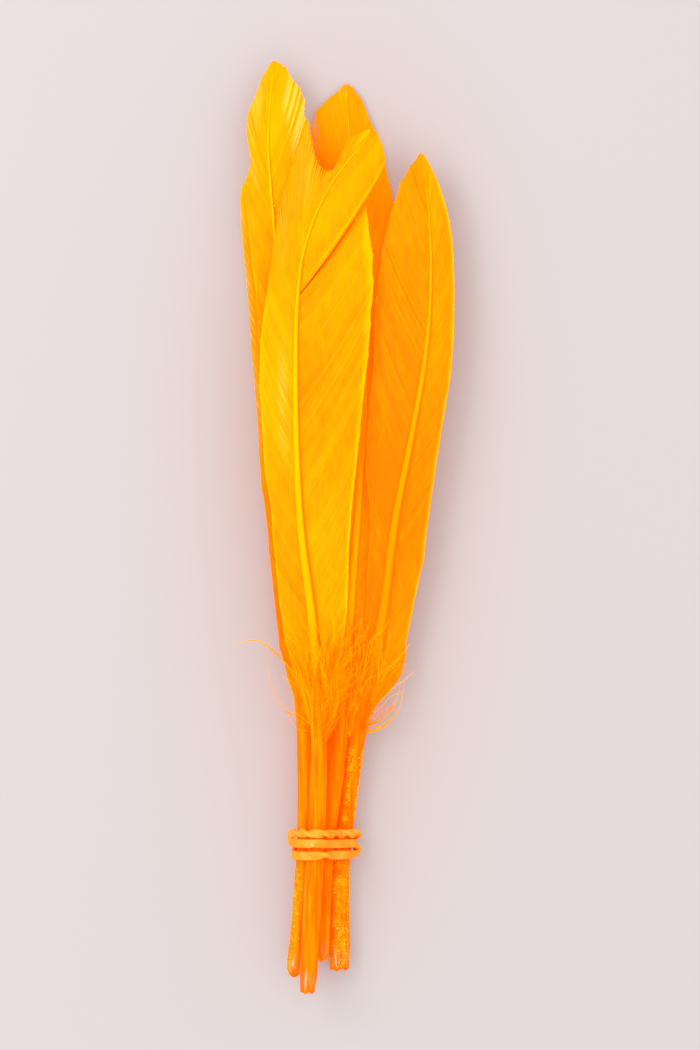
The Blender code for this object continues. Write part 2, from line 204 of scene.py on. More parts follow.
FEATHERS = (
    Feather(
        name="front_feather",
        route=(
            (-7.8, -92.9, 8.4), (-7.1, -81.0, 8.6), (-6.6, -72.0, 8.85), (-6.0, -63.0, 9.05),
            (-5.6, -51.0, 9.25), (-5.5, -42.0, 9.4), (-6.5, -21.0, 10.0), (-9.2, 2.0, 10.6),
            (-10.1, 30.0, 10.9), (-9.2, 51.0, 10.7), (-6.5, 61.0, 10.3), (-3.1, 68.0, 9.8),
            (1.2, 73.8, 9.0), (4.6, 77.8, 8.2),
        ),
        quill=1.8,
        foot=0.315,
        left=(
            (-7.4, -38.0), (-8.5, -34.8), (-10.1, -30.2), (-11.3, -26.0), (-12.4, -21.5), (-13.4, -15.0),
            (-13.9, -8.8), (-15.1, 4.5), (-16.2, 10.5), (-16.8, 20.0), (-17.3, 28.0), (-17.1, 37.6),
            (-16.0, 45.2), (-14.9, 52.4), (-14.2, 58.0, 42.0), (-13.6, 62.0, 43.6), (-12.4, 66.8, 45.2),
            (-10.9, 72.0, 47.0), (-9.7, 75.2, 48.4), (-8.5, 78.6, 50.0), (-7.5, 80.6, 51.5),
            (-7.1, 77.6, 53.0), (-6.4, 74.2, 54.6), (-5.2, 72.0, 56.2), (-3.5, 70.9, 58.0),
            (-1.7, 71.6, 60.0), (-0.4, 73.3, 62.2), (0.25, 74.6, 63.9), (0.1, 75.6, 65.3),
            (0.6, 77.0, 67.2), (1.6, 77.9, 69.6), (3.2, 78.4, 73.0), (4.7, 79.2, 77.0),
        ),
        right=(
            (-4.9, -38.8), (-3.2, -33.0), (-1.5, -28.0), (-0.9, -24.6), (0.1, -17.0), (0.4, -8.6), (0.8, 0.2),
            (1.2, 5.6), (1.8, 10.8), (2.6, 18.0), (3.4, 27.0), (4.3, 34.0), (4.8, 41.2), (5.4, 48.8, 24.5),
            (5.2, 54.2, 31.0), (4.4, 59.4, 38.4), (3.9, 64.2, 46.20), (7.1, 70.9, 46.24), (7.6, 72.9, 49.0),
            (7.4, 75.5, 54.5), (6.6, 76.5, 60.0), (6.4, 77.6, 66.0), (5.7, 79.0, 72.0), (4.9, 79.3, 77.0),
        ),
        narrow=-1,
        dye=(
            (0.0, 0.25, 0.5), (0.25, 0.3, 0.5), (0.55, 0.6, 0.28), (0.72, 0.42, 0.32), (0.86, 0.34, 0.45),
            (1.0, 0.4, 0.5),
        ),
        cut="open",
        pale=((-1, 0.38, 0.60, 0.15, 0.50, 0.3), (-1, 0.64, 0.86, 0.4, 1.2, 0.07)),
        # Painted highlights along both rims, near the left tip and along the lower edge of the right vane's
        # upper lobe, and painted shade under that lobe
        painted_light_and_shade=(
            (1, 0.0, 0.70, 0.87, 1.4, 0.9), (-1, 0.0, 0.60, 0.88, 1.4, 0.4), (-1, 0.93, 1.1, 0.3, 1.5, 0.45),
            (1, 0.711, 0.7165, 0.1, 1.4, 0.5), (1, 0.690, 0.7105, 0.2, 1.4, -0.3),
        ),
        parted=((1, 45.85, 46.45),),
        down=190,
        down_side=(9.0, 32.0),
    ),
    Feather(
        name="tall_left_feather",
        route=(
            (-10.6, -90.1, 4.6), (-9.5, -82.0, 4.7), (-8.7, -72.0, 5.2), (-8.15, -63.0, 5.8),
            (-8.1, -51.0, 6.2), (-8.5, -38.0, 6.7), (-9.6, -20.0, 7.0), (-11.1, 12.0, 7.3),
            (-12.7, 42.0, 7.4), (-14.5, 61.0, 7.0), (-15.6, 77.0, 6.3), (-14.5, 92.7, 4.9),
        ),
        quill=1.75,
        foot=0.30,
        left=(
            (-9.6, -37.0), (-11.8, -30.0), (-13.8, -20.0), (-15.4, -5.0), (-16.5, 12.0), (-17.3, 28.0),
            (-17.7, 38.4), (-17.9, 47.0), (-19.4, 59.4), (-20.3, 67.0), (-20.1, 69.0), (-19.1, 72.2),
            (-19.2, 73.8), (-19.9, 79.2), (-19.7, 82.0), (-18.9, 84.2), (-18.1, 86.4), (-17.1, 88.8),
            (-15.7, 91.4), (-14.5, 93.0),
        ),
        right=(
            (-6.8, -38.0), (-4.6, -28.0), (-3.0, -12.0), (-2.6, 5.0), (-3.2, 25.0), (-4.0, 45.0),
            (-5.2, 60.0), (-6.4, 75.0), (-7.5, 81.0), (-8.6, 82.6), (-8.2, 85.0), (-9.4, 87.2),
            (-10.9, 89.6), (-12.3, 91.6), (-14.2, 93.0),
        ),
        narrow=-1,
        dye=((0.0, 0.1, 0.4), (0.5, 0.25, 0.45), (0.72, 0.44, 0.55), (1.0, 0.5, 0.5)),
        cut="round",
        pale=((-1, 0.74, 0.94, 0.55, 1.2, 0.3), (1, 0.75, 0.90, 0.5, 1.2, 0.6)),
        scurf=((-91.0, -66.6, 140, 42, 0.6), (-60.0, -50.0, 170, 20, 0.15), (58.0, 66.0, 60, 80, 1.0)),
        down=16,
        down_side=(5.0, 20.0),
    ),
    Feather(
        name="right_feather",
        route=(
            (-1.4, -88.5, 2.55), (-1.6, -80.0, 2.55), (-1.5, -71.0, 2.7), (-0.7, -63.0, 3.05),
            (0.7, -51.0, 3.4), (1.95, -42.0, 4.0), (4.5, -31.0, 4.9), (7.2, -18.5, 5.8), (9.8, 1.0, 6.6),
            (13.1, 18.0, 7.1), (15.9, 34.5, 7.3), (16.9, 50.0, 7.1), (16.4, 63.0, 6.7), (15.1, 74.0, 6.0),
        ),
        quill=2.2,
        foot=0.315,
        left=(
            (1.2, -38.6), (1.0, -34.0), (1.9, -28.5), (3.4, -24.0), (4.2, -9.4), (4.9, 0.0), (4.5, 5.4),
            (3.9, 10.8), (4.1, 18.0), (4.7, 25.2), (5.3, 31.0), (5.5, 39.4), (5.8, 45.2), (6.5, 50.6),
            (7.2, 55.2), (8.1, 59.4), (9.0, 63.0), (10.1, 66.0), (10.8, 68.4), (11.9, 70.2), (12.7, 72.0),
            (13.8, 73.2), (14.9, 74.6),
        ),
        right=(
            (5.5, -37.4), (8.3, -34.4), (10.8, -29.8), (11.9, -26.0), (12.0, -22.8), (12.9, -18.2),
            (14.4, -10.6), (15.5, -6.2), (16.3, 1.2), (17.4, 9.0), (18.3, 15.4), (19.5, 22.6), (20.8, 30.4),
            (21.3, 37.6), (21.4, 50.0), (21.0, 57.7), (19.9, 63.8), (18.5, 68.0), (16.4, 72.4),
            (15.2, 74.4),
        ),
        narrow=1,
        dye=((0.0, 0.0, 0.2), (0.3, 0.0, 0.03), (0.7, 0.08, 0.24), (1.0, 0.22, 0.36)),
        cut="open",
        taper=THICK_TAPER,
        # Painted highlights along both curled rims
        painted_light_and_shade=((1, 0.05, 0.9, 0.87, 1.4, 0.8), (-1, 0.1, 0.7, 0.92, 1.4, 0.5)),
        scurf=((-88.0, -67.0, 95, 70, 0.6), (-59.5, -44.0, 96, 16, 0.8), (-58.5, -45.0, 12, 22, 1.2)),
        down=90,
        down_side=(24.0, 12.0),
        grooves=((82.0, 0.32, 0.24), (110.0, -0.12, 0.2)),
    ),
    Feather(
        name="back_feather",
        route=(
            (-4.9, -87.0, 5.1), (-4.8, -80.0, 5.4), (-4.5, -71.0, 5.6), (-3.9, -63.0, 5.6),
            (-2.6, -51.0, 5.5), (-1.75, -42.0, 5.35), (-0.6, -32.0, 4.9), (0.7, -17.0, 4.2),
            (2.5, 5.0, 3.2), (3.7, 25.0, 2.4), (2.9, 45.0, 1.7), (1.3, 69.0, 1.2), (-0.1, 87.4, 0.8),
        ),
        quill=2.1,
        foot=0.31,
        left=(
            (-2.6, -39.0), (-4.0, -34.0), (-5.0, -24.0), (-5.2, -10.0), (-5.2, 5.0), (-5.6, 20.0),
            (-6.2, 35.0), (-7.0, 50.0), (-7.3, 65.0), (-7.1, 76.6), (-7.1, 79.8), (-6.1, 82.8),
            (-4.9, 84.0), (-3.3, 85.6), (-1.3, 87.3), (-0.3, 88.3),
        ),
        right=(
            (-0.4, -39.0), (1.6, -34.0), (4.2, -25.0), (6.8, -14.0), (9.0, 0.0), (10.4, 15.0), (11.2, 30.0),
            (11.0, 45.0), (10.2, 57.0), (9.4, 64.8), (8.5, 68.8), (7.4, 74.2), (4.9, 80.6), (3.1, 85.2),
            (1.3, 87.4), (0.1, 88.2),
        ),
        narrow=1,
        dye=((0.0, 0.8, 0.3), (0.3, 0.8, 0.7), (0.6, 0.7, 1.2), (0.8, 0.5, 0.6), (1.0, 0.42, 0.36)),
        cut="round",
        taper=WAIST_TAPER,
        pale=((-1, 0.925, 0.965, 0.8, 1.3, 0.35),),
        down=50,
    ),
    Feather(
        name="low_left_feather",
        route=(
            (-7.0, -86.0, 1.9), (-6.9, -78.0, 1.9), (-6.7, -70.0, 2.2), (-6.6, -63.0, 2.5),
            (-7.2, -52.0, 2.6), (-8.0, -44.0, 2.6), (-9.6, -31.0, 2.5), (-12.6, -10.0, 2.3),
            (-15.0, 13.0, 2.0), (-17.1, 40.0, 1.7), (-19.1, 57.0, 1.4), (-20.5, 68.3, 0.9),
        ),
        quill=1.6,
        foot=0.33,
        left=(
            (-10.1, -33.4), (-11.6, -29.0), (-13.4, -24.0), (-13.9, -18.0), (-14.0, -13.0), (-14.6, -8.0),
            (-15.6, -1.6), (-16.5, 5.6), (-17.0, 8.0), (-17.6, 20.0), (-18.4, 29.4), (-19.0, 35.8),
            (-19.3, 41.2), (-19.9, 48.8), (-20.6, 55.2), (-21.1, 61.2), (-21.2, 65.6), (-20.6, 68.6),
        ),
        right=(
            (-7.6, -35.0), (-7.2, -25.0), (-8.0, -10.0), (-9.0, 8.0), (-10.4, 25.0), (-12.2, 40.0),
            (-14.4, 51.0), (-17.0, 60.0), (-19.2, 66.0), (-20.4, 68.4),
        ),
        narrow=-1,
        dye=((0.0, 0.2, 0.2), (0.6, 0.45, 0.45), (1.0, 0.85, 0.85)),
        cut="round",
        roll=6.0,
        pale=((-1, 0.45, 0.95, 0.4, 1.2, 0.4),),
        down=10,
        down_side=(3.0, 16.0),
    ),
)

# Single loose barbs of down: (how thick at the root, points on the way from the quill in millimetres)
STRAY_BARBS = {
    "front_feather": (
        (7.0, (
            (-8.2, -33.0, 9.8), (-12.7, -26.8, 9.6), (-16.9, -23.2, 9.0), (-19.8, -22.9, 8.6),
            (-22.3, -23.8, 8.2),
        )),
        (2.4, (
            (-7.4, -40.0, 9.4), (-10.2, -38.2, 9.2), (-13.6, -35.0, 8.8), (-15.2, -31.5, 8.6),
            (-15.8, -28.6, 8.4),
        )),
        (6.0, ((-7.4, -39.5, 9.4), (-9.6, -37.6, 9.2), (-11.6, -37.2, 8.8), (-13.0, -36.2, 8.6))),
        (2.2, ((-7.2, -41.0, 9.4), (-9.4, -40.6, 9.0), (-11.0, -39.2, 8.6), (-11.9, -37.0, 8.5))),
    ),
    "right_feather": (
        (3.5, (
            (3.9, -40.4, 4.6), (7.4, -39.6, 4.6), (9.9, -37.4, 4.8), (11.1, -34.4, 5.0), (11.4, -31.0, 5.2),
        )),
        (3.0, (
            (3.9, -40.0, 4.6), (6.8, -38.6, 4.8), (9.4, -36.0, 5.0), (10.5, -33.0, 5.2), (10.6, -30.4, 5.4),
        )),
        (8.0, ((3.7, -39.8, 4.5), (6.6, -38.8, 4.4), (8.8, -36.6, 4.4), (9.8, -34.4, 4.5))),
        (9.0, ((3.6, -41.0, 4.4), (6.2, -40.6, 4.2), (8.4, -39.2, 4.1), (9.9, -37.2, 4.1))),
        (4.0, ((0.4, -36.0, 5.4), (-0.6, -39.0, 5.5), (-1.3, -42.4, 5.2), (-0.9, -45.0, 5.0))),
    ),
}


# ---------------------------------------------------------------- shapes of a feather


def profile(table, share):
    """The table's values at each share, run smoothly through its rows. A row is (share, value)."""
    table = np.asarray(table, dtype=float)
    share = np.asarray(share, dtype=float)
    i = np.clip(np.searchsorted(table[:, 0], share, side="right") - 1, 0, len(table) - 2)
    even = np.clip((share - table[i, 0]) / (table[i + 1, 0] - table[i, 0]), 0.0, 1.0)
    mix = 0.5 * (even + even * even * (3 - 2 * even))
    return table[i, 1] + (table[i + 1, 1] - table[i, 1]) * mix


def catmull_rom(points, steps=12):
    """A smooth line through the points."""
    ends = np.vstack((2 * points[0] - points[1], points, 2 * points[-1] - points[-2]))
    line = []
    for p0, p1, p2, p3 in zip(ends, ends[1:], ends[2:], ends[3:]):
        a, b, c = (np.linalg.norm(q - p) for p, q in ((p0, p1), (p1, p2), (p2, p3)))
        m1 = (p2 - p0) * b / (a + b)
        m2 = (p3 - p1) * b / (b + c)
        for t in np.arange(steps) / steps:
            line.append(
                p1 * (2 * t**3 - 3 * t**2 + 1) + m1 * (t**3 - 2 * t**2 + t)
                + p2 * (3 * t**2 - 2 * t**3) + m2 * (t**3 - t**2)
            )
    return np.array([*line, points[-1]])


def unit(vectors):
    return vectors / np.linalg.norm(vectors, axis=-1, keepdims=True)


def lengths_along(line):
    """How far along a line each of its points is."""
    return np.concatenate(([0.0], np.cumsum(np.linalg.norm(np.diff(line, axis=0), axis=1))))


def angle_between(turn, degrees):
    """How far the turns are from an angle, whichever way is shorter, in radians."""
    return np.abs((turn - math.radians(degrees) + math.pi) % math.tau - math.pi)


def inset(share):
    """A share of a map's width or height, kept clear of its edges."""
    return MAP_MARGIN + (1 - 2 * MAP_MARGIN) * share


def rows(table, places, at):
    """Each column of the table at the places, as vectors."""
    return np.stack([np.interp(places, at, column) for column in table.T], axis=-1)


class Shaft:
    """A feather's axis by distance from the cut end, with the sideways and upward directions of its vane."""

    RUN_ON = 30 * MM  # how far the axis runs on straight past each end
    STEP = 0.5 * MM
    SPAN = 3  # steps each way over which the direction is taken
    TIP_GAP = 0.2 * MM  # from the last barb to the end of the shaft
    ROOT_GAP = 0.02 * MM  # the least distance between the roots of the barbs to two points of an edge

    def __init__(self, feather):
        line = catmull_rom(np.array(feather.route) * MM)
        line = np.vstack((
            line[0] - unit(line[1] - line[0]) * self.RUN_ON, line,
            line[-1] + unit(line[-1] - line[-2]) * self.RUN_ON,
        ))
        at = lengths_along(line) - self.RUN_ON
        self.length = at[-1] - self.RUN_ON
        self.at = np.arange(at[0], at[-1], self.STEP)
        self.points = rows(line, self.at, at)
        before = rows(self.points, self.at - self.SPAN * self.STEP, self.at)
        after = rows(self.points, self.at + self.SPAN * self.STEP, self.at)
        self.along = unit(after - before)
        flat_right = unit(np.cross(self.along, UP))
        flat_up = np.cross(flat_right, self.along)
        roll = math.radians(feather.roll)
        self.right = flat_right * math.cos(roll) - flat_up * math.sin(roll)
        self.up = flat_up * math.cos(roll) + flat_right * math.sin(roll)
        self.foot = feather.foot * self.length
        self.feather = feather

    def radius(self, distance):
        return self.feather.quill * MM * profile(self.feather.taper, distance / self.length)

    def place(self, distance, sideways=0.0, height=0.0):
        """Points so far along the axis, so far sideways over the drooping vane, and so high above it."""
        sideways = np.asarray(sideways)[..., None] if np.ndim(sideways) else sideways
        height = np.asarray(height)[..., None] if np.ndim(height) else height
        return (
            rows(self.points, distance, self.at) + rows(self.right, distance, self.at) * sideways
            + rows(self.up, distance, self.at) * (height - VANE_DROOP * sideways**2)
        )

    def at_y(self, y):
        """How far along the axis it crosses a y."""
        return np.interp(y, self.points[:, 1], self.at)

    def edge_barbs(self, side):
        """The barb to each point of a side's edge: (start and end along the axis, end sideways)."""
        found = []
        for x, y, *root in self.feather.right if side > 0 else self.feather.left:
            gap = np.hypot(self.points[:, 0] - x * MM, self.points[:, 1] - y * MM)
            i = int(np.argmin(gap))
            if root:
                start = self.at_y(root[0] * MM)
            else:
                share = (self.at[i] - self.foot) / (self.length - self.foot)
                lean = profile(BARB_LEAN, share) * (NARROW_LEAN if side == self.feather.narrow else 1)
                start = max(self.at[i] - gap[i] / math.tan(math.radians(lean)), self.foot)
            if found:
                start = max(start, found[-1][0] + self.ROOT_GAP)
            found.append((start, self.at[i], gap[i]))
        return np.array(found)


SHAFTS = {feather.name: Shaft(feather) for feather in FEATHERS}


def clumps(count, rng):
    """For each barb: its clump's number, its place in the clump from -1 to 1, and the clump's size."""
    sizes = rng.integers(*CLUMP_SIZES, count)
    ends = np.cumsum(sizes)
    number = np.searchsorted(ends, np.arange(count), side="right")
    place = (np.arange(count) - (ends - sizes)[number] + 0.5) / sizes[number] * 2 - 1
    return number, place, sizes[number]


def barb_guides(shaft, side, spacing, rng):
    """Centre lines of the barbs on a side of a vane, with what their nodes and finish read at each point."""
    feather = shaft.feather
    edge = shaft.edge_barbs(side)
    start = np.arange(shaft.foot, shaft.length - shaft.TIP_GAP, spacing)
    for parted_side, low, high in feather.parted:
        if parted_side == side:
            start = start[(start < shaft.at_y(low * MM)) | (start > shaft.at_y(high * MM))]
    count = len(start)
    number, in_clump, size = clumps(count, rng)

    def uneven(each, whole):
        return rng.normal(0, each, count) + rng.normal(0, whole, count)[number]

    stretch = 1 + uneven(*LENGTH_SPREAD)
    end = start + (profile(edge[:, (0, 1)], start) - start) * stretch
    width = profile(edge[:, (0, 2)], start) * stretch
    drawn = np.clip((rng.random(count)[number] - (1 - DRAWN_CLUMPS)) / DRAWN_CLUMPS, 0, 1)
    pull = CLUMP_PULL[0] + CLUMP_PULL[1] * drawn**2
    tone, lift = uneven(*DYE_SPREAD), uneven(*LIFT_SPREAD)
    slant = uneven(*TILT_SPREAD)
    phase = rng.random(2) * math.tau

    reach = np.linspace(0, 1, BARB_POINTS)[None, :]
    start, end, width = start[:, None], end[:, None], width[:, None]
    distance = start + (end - start) * reach
    root = BARB_ROOT * shaft.radius(start)
    sideways = side * (root + (width - root) * reach)
    wave = np.sin(distance / VANE_WAVES[0] + phase[0])
    wave = wave + 0.6 * np.sin(distance / VANE_WAVES[1] + phase[1] + 2 * reach)
    height = VANE_WAVE_HEIGHT * wave * reach**1.5 + lift[:, None] * reach - BARB_SINK * shaft.radius(start)
    points = shaft.place(distance, sideways, height)
    chord = points[:, -1:] - points[:, :1]
    bow = np.cross(chord, UP) * side * BARB_BOW
    straight = points[:, :1] + chord * reach[..., None] + bow * (4 * reach * (1 - reach))[..., None]
    points[..., :2] = straight[..., :2]
    gather = -(in_clump * size * spacing / 2 * pull)[:, None] * reach**3
    points = points + rows(shaft.along, distance, shaft.at) * gather[..., None]
    points[..., 2] = np.maximum(points[..., 2], LOWEST_BARB)

    along = unit(np.gradient(points, axis=1))
    up = rows(shaft.up, distance, shaft.at)
    across = unit(np.cross(along, up))
    tilt = side * (BARB_TILT + slant[:, None] * reach)
    breadth = -across * np.cos(tilt)[..., None] + unit(np.cross(across, along)) * np.sin(tilt)[..., None]
    share = (distance - shaft.foot) / (shaft.length - shaft.foot)
    root = (start - shaft.foot) / (shaft.length - shaft.foot)

    def patches(table):
        """How strong a feather's patches of one kind are at each point."""
        total = np.zeros_like(share)
        for patch_side, low, high, near, far, strength in table:
            if patch_side == side:
                soft = min(PATCH_FADE[0], (high - low) / 5)
                inside = np.clip(np.minimum(root - low, high - root) / soft, 0, 1)
                soft = min(PATCH_FADE[1], 1.04 - near)
                on_barb = np.clip(np.minimum(reach - near, far - reach) / soft, 0, 1)
                total += strength * inside * on_barb
        return total

    # Partly painted light and shade: the dye table makes sides and stretches yellower or deeper for how the
    # light falls
    dye = profile(np.array(feather.dye)[:, (0, 2 if side > 0 else 1)], share) + DYE_CONTRAST * tone[:, None]
    spread = np.broadcast_to
    return points, {
        "reach": spread(reach, share.shape),
        # Painted highlights and shade from the feather's list are laid on the dye here
        "dye": dye + patches(feather.painted_light_and_shade),
        "pale": patches(feather.pale) * np.clip(0.25 + uneven(*WEAR_SPREAD), 0, 1)[:, None],
        "taper": (1.0 - BARB_TIP[0] * reach ** BARB_TIP[1]) * np.ones_like(share),
        "along": np.clip(inset(share), 0, 1),
        "across": 0.5 + side * (0.5 - MAP_MARGIN) * spread(reach, share.shape),
    }, breadth


def down_guides(shaft, count, rng):
    """Loose barbs of down from the foot of a vane, sweeping up over it."""
    feather = shaft.feather
    zone, before = DOWN_ZONE
    start = shaft.foot + MM * (rng.random(count) ** 1.2 * zone - before)
    left, right = feather.down_side
    side = np.where(rng.random(count) < left / (left + right), -1.0, 1.0)
    length = MM * (DOWN_LENGTH[0] + DOWN_LENGTH[1] * rng.random(count))
    stray = np.where(side < 0, left, right)
    heading = side * np.radians(4 + stray * rng.random(count))
    bend = np.radians(rng.normal(0, DOWN_BEND, count)) - 0.5 * heading
    rise = MM * rng.uniform(*DOWN_RISE, count)
    wobble = rng.uniform(*DOWN_WOBBLE, count)
    pitch, phase = rng.uniform(*DOWN_WAVES, count), rng.random(count) * math.tau
    tone = rng.normal(0, 1, count)

    reach = np.linspace(0, 1, DOWN_POINTS)[None, :]
    turned = heading[:, None] + bend[:, None] * reach**1.5
    turned = turned + wobble[:, None] * np.sin(math.tau * pitch[:, None] * reach + phase[:, None])
    step = length[:, None] / (DOWN_POINTS - 1)
    distance = start[:, None] + np.cumsum(np.cos(turned) * step, axis=1)
    root = DOWN_ROOT * shaft.radius(start)[:, None]
    sideways = side[:, None] * root + np.cumsum(np.sin(turned) * step, axis=1)
    height = root + rise[:, None] * np.sin(math.pi * (0.15 + 0.75 * reach))
    points = shaft.place(distance, sideways, height)
    along = unit(np.gradient(points, axis=1))
    spread = np.broadcast_to
    return points, {
        "reach": spread(reach, distance.shape),
        "dye": spread(DOWN_DYE[0] + DOWN_DYE[1] * tone[:, None], distance.shape),
        "taper": spread(DOWN_TAPER[0] - DOWN_TAPER[1] * reach, distance.shape),
        "fluff": np.ones(distance.shape),
        "along": spread(inset(np.arange(count) / count)[:, None], distance.shape),
        "across": spread(inset(reach), distance.shape),
    }, np.cross(along, UP)


def stray_guides(feather):
    """The single loose barbs that lie clear of the feather."""
    for thick, route in STRAY_BARBS.get(feather.name, ()):
        points = catmull_rom(np.array(route) * MM, steps=8)
        reach = np.linspace(0, 1, len(points))
        yield points, {
            "reach": reach, "dye": 0 * reach + STRAY_DYE, "taper": thick - (thick - STRAY_TIP) * reach,
            "fluff": 0 * reach + STRAY_FLUFF, "along": 0 * reach + STRAY_ALONG,
            "across": inset(reach),
        }, np.cross(unit(np.gradient(points, axis=0)), UP)


def quill_rings(shaft):
    """Rings of points round a quill and its shaft, cut end first, with what the finish reads at each."""
    feather = shaft.feather
    turn = np.arange(SHAFT_SIDES) / SHAFT_SIDES * math.tau
    near = np.linspace(0, 1, END_RINGS) ** 2 * END_LENGTH
    further = np.arange(END_LENGTH + SHAFT_STEP, shaft.length + 0.3 * MM, SHAFT_STEP)
    distance = np.concatenate((near, further))
    radius = shaft.radius(distance)[:, None] * np.ones_like(turn)
    uneven = np.sin(distance / UNEVEN_LENGTH)[:, None] + np.sin(2 * turn + 1.3)
    radius *= 1 + UNEVEN_QUILL * uneven
    before, over = BARE_FADE
    bare = 1 - profile(((0, 0.0), (1, 1.0)), (distance - shaft.foot + before) / over)[:, None]
    for angle, depth, width in feather.grooves:
        dip = depth * MM * np.exp(-((angle_between(turn, angle) / width) ** 2))
        radius -= dip * bare * np.clip(distance / (6 * MM), 0, 1)[:, None]
    rims = [(distance, radius)]
    if feather.cut == "round":
        whole = np.clip(distance / ROUND_END, 0, 1)
        rims = [(distance, radius * np.sqrt(1 - (1 - np.maximum(whole, 0.02)) ** 2)[:, None])]
    else:
        inner, wall = QUILL_HOLLOW.T * MM
        rims.insert(0, (inner, np.maximum(radius[0] - wall[:, None], 0.1 * MM)))
    rings, places = [], []
    for distance, radius in rims:
        place = distance[:, None] + 0 * turn
        if feather.cut == "open":
            ragged = sum(high * np.sin(waves * turn + first) for high, waves, first in RAGGED_CUT)
            place = place + ragged * MM * np.exp(-((distance / RAGGED_LENGTH) ** 2))[:, None]
        right, up, middle = (rows(table, place, shaft.at) for table in (shaft.right, shaft.up, shaft.points))
        right, up = right * (radius * np.cos(turn))[..., None], up * (radius * np.sin(turn))[..., None]
        rings.append(middle + right + up)
        places.append(distance)
    distance = np.concatenate(places)[:, None] + 0 * turn
    share = (distance - shaft.foot) / (shaft.length - shaft.foot)
    # The shaft takes the mean of both sides, painted light and shade included
    left, right = (profile(np.array(feather.dye)[:, (0, side)], share) for side in (1, 2))
    rings = np.concatenate(rings)
    scurf = np.zeros_like(distance)
    for low, high, angle, half, strength in feather.scurf:
        away = angle_between(turn, angle) / math.radians(half)
        inside = (rings[..., 1] > low * MM) & (rings[..., 1] < high * MM)
        scurf = np.maximum(scurf, strength * inside * np.clip(1.3 - away, 0, 1))
    return rings, {
        # around: how far each point faces right, read for the painted shade on the shaft's right side
        "along": distance / shaft.length, "around": np.cos(turn) + 0 * distance, "dye": (left + right) / 2,
        "scurf": scurf, "on_vane": (distance > shaft.foot + CLEAR_OF_FOOT).astype(float),
    }


def band_guide():
    """The band's centre line as one closed line, twisted as its route says."""
    quills = []
    for shaft in SHAFTS.values():
        distance = shaft.at_y(QUILLS_MEET_Y)
        quills.append((rows(shaft.points, distance, shaft.at)[[0, 2]], shaft.radius(distance)))
    last = np.array(BAND_ROUTE[0]) + (-360.0, 0.0, 0.0)
    line = catmull_rom(np.vstack((BAND_ROUTE, last)))
    places = []
    for angle, y, stand_off in line:
        outward = np.array((math.cos(math.radians(angle)), math.sin(math.radians(angle))))
        centre, radius = max(quills, key=lambda quill: quill[0] @ outward + quill[1])
        x, z = centre + outward * (radius + BAND_CLEARANCE + BAND_THICKNESS / 2 + stand_off * MM)
        places.append((x, y * MM, z, *outward))
    places = np.array(places)
    at = lengths_along(places[:, :3])
    share = np.arange(BAND_POINTS) / BAND_POINTS
    even = rows(places, share * at[-1], at)
    twist = (profile(BAND_TWIST, share) * math.pi)[:, None]
    outward = np.column_stack((even[:, 3], np.zeros(BAND_POINTS), even[:, 4]))
    points = even[:, :3] + outward * np.abs(np.sin(twist)) * (BAND_WIDTH - BAND_THICKNESS) / 2
    points = sum(np.roll(points, k, axis=0) for k in range(-BAND_EASE, BAND_EASE + 1)) / (2 * BAND_EASE + 1)
    points[:, 2] = np.maximum(points[:, 2], BAND_THICKNESS / 2)
    along = unit(np.roll(points, -1, axis=0) - np.roll(points, 1, axis=0))
    flat = unit(np.cross(outward, along))
    breadth = flat * np.cos(twist) + np.cross(along, flat) * np.sin(twist)
    return points, {"taper": np.ones(BAND_POINTS)}, breadth


# ---------------------------------------------------------------- objects


def new_object(name, data):
    made = bpy.data.objects.new(name, data)
    bpy.context.scene.collection.objects.link(made)
    return made


def lamp(name, power, size, place):
    """A square lamp that shines on the middle of the bunch."""
    light = bpy.data.lights.new(name, "AREA")
    light.energy = power
    light.shape = "SQUARE"
    light.size = size
    made = new_object(name, light)
    made.location = place
    made.rotation_euler = (-made.location).to_track_quat("-Z", "Y").to_euler()
    return made


def guide_mesh(name, lines, closed=False):
    """A mesh of edges along the lines. A line is (points, {attribute: values}, directions of its breadth)."""
    points, edges, breadths, values = [], [], [], {}
    first = 0
    for line, attributes, breadth in lines:
        count = len(line)
        points.append(line)
        breadths.append(breadth)
        steps = np.arange(first, first + count - 1)
        edges.append(np.column_stack((steps, steps + 1)))
        if closed:
            edges.append(np.array([[first + count - 1, first]]))
        for key, value in attributes.items():
            values.setdefault(key, []).append(value)
        first += count
    mesh = bpy.data.meshes.new(name)
    mesh.from_pydata(np.concatenate(points), np.concatenate(edges), [])
    for key, parts in values.items():
        mesh.attributes.new(key, "FLOAT", "POINT").data.foreach_set("value", np.concatenate(parts).ravel())
    breadth = mesh.attributes.new("breadth", "FLOAT_VECTOR", "POINT")
    breadth.data.foreach_set("vector", np.concatenate(breadths).ravel())
    return mesh


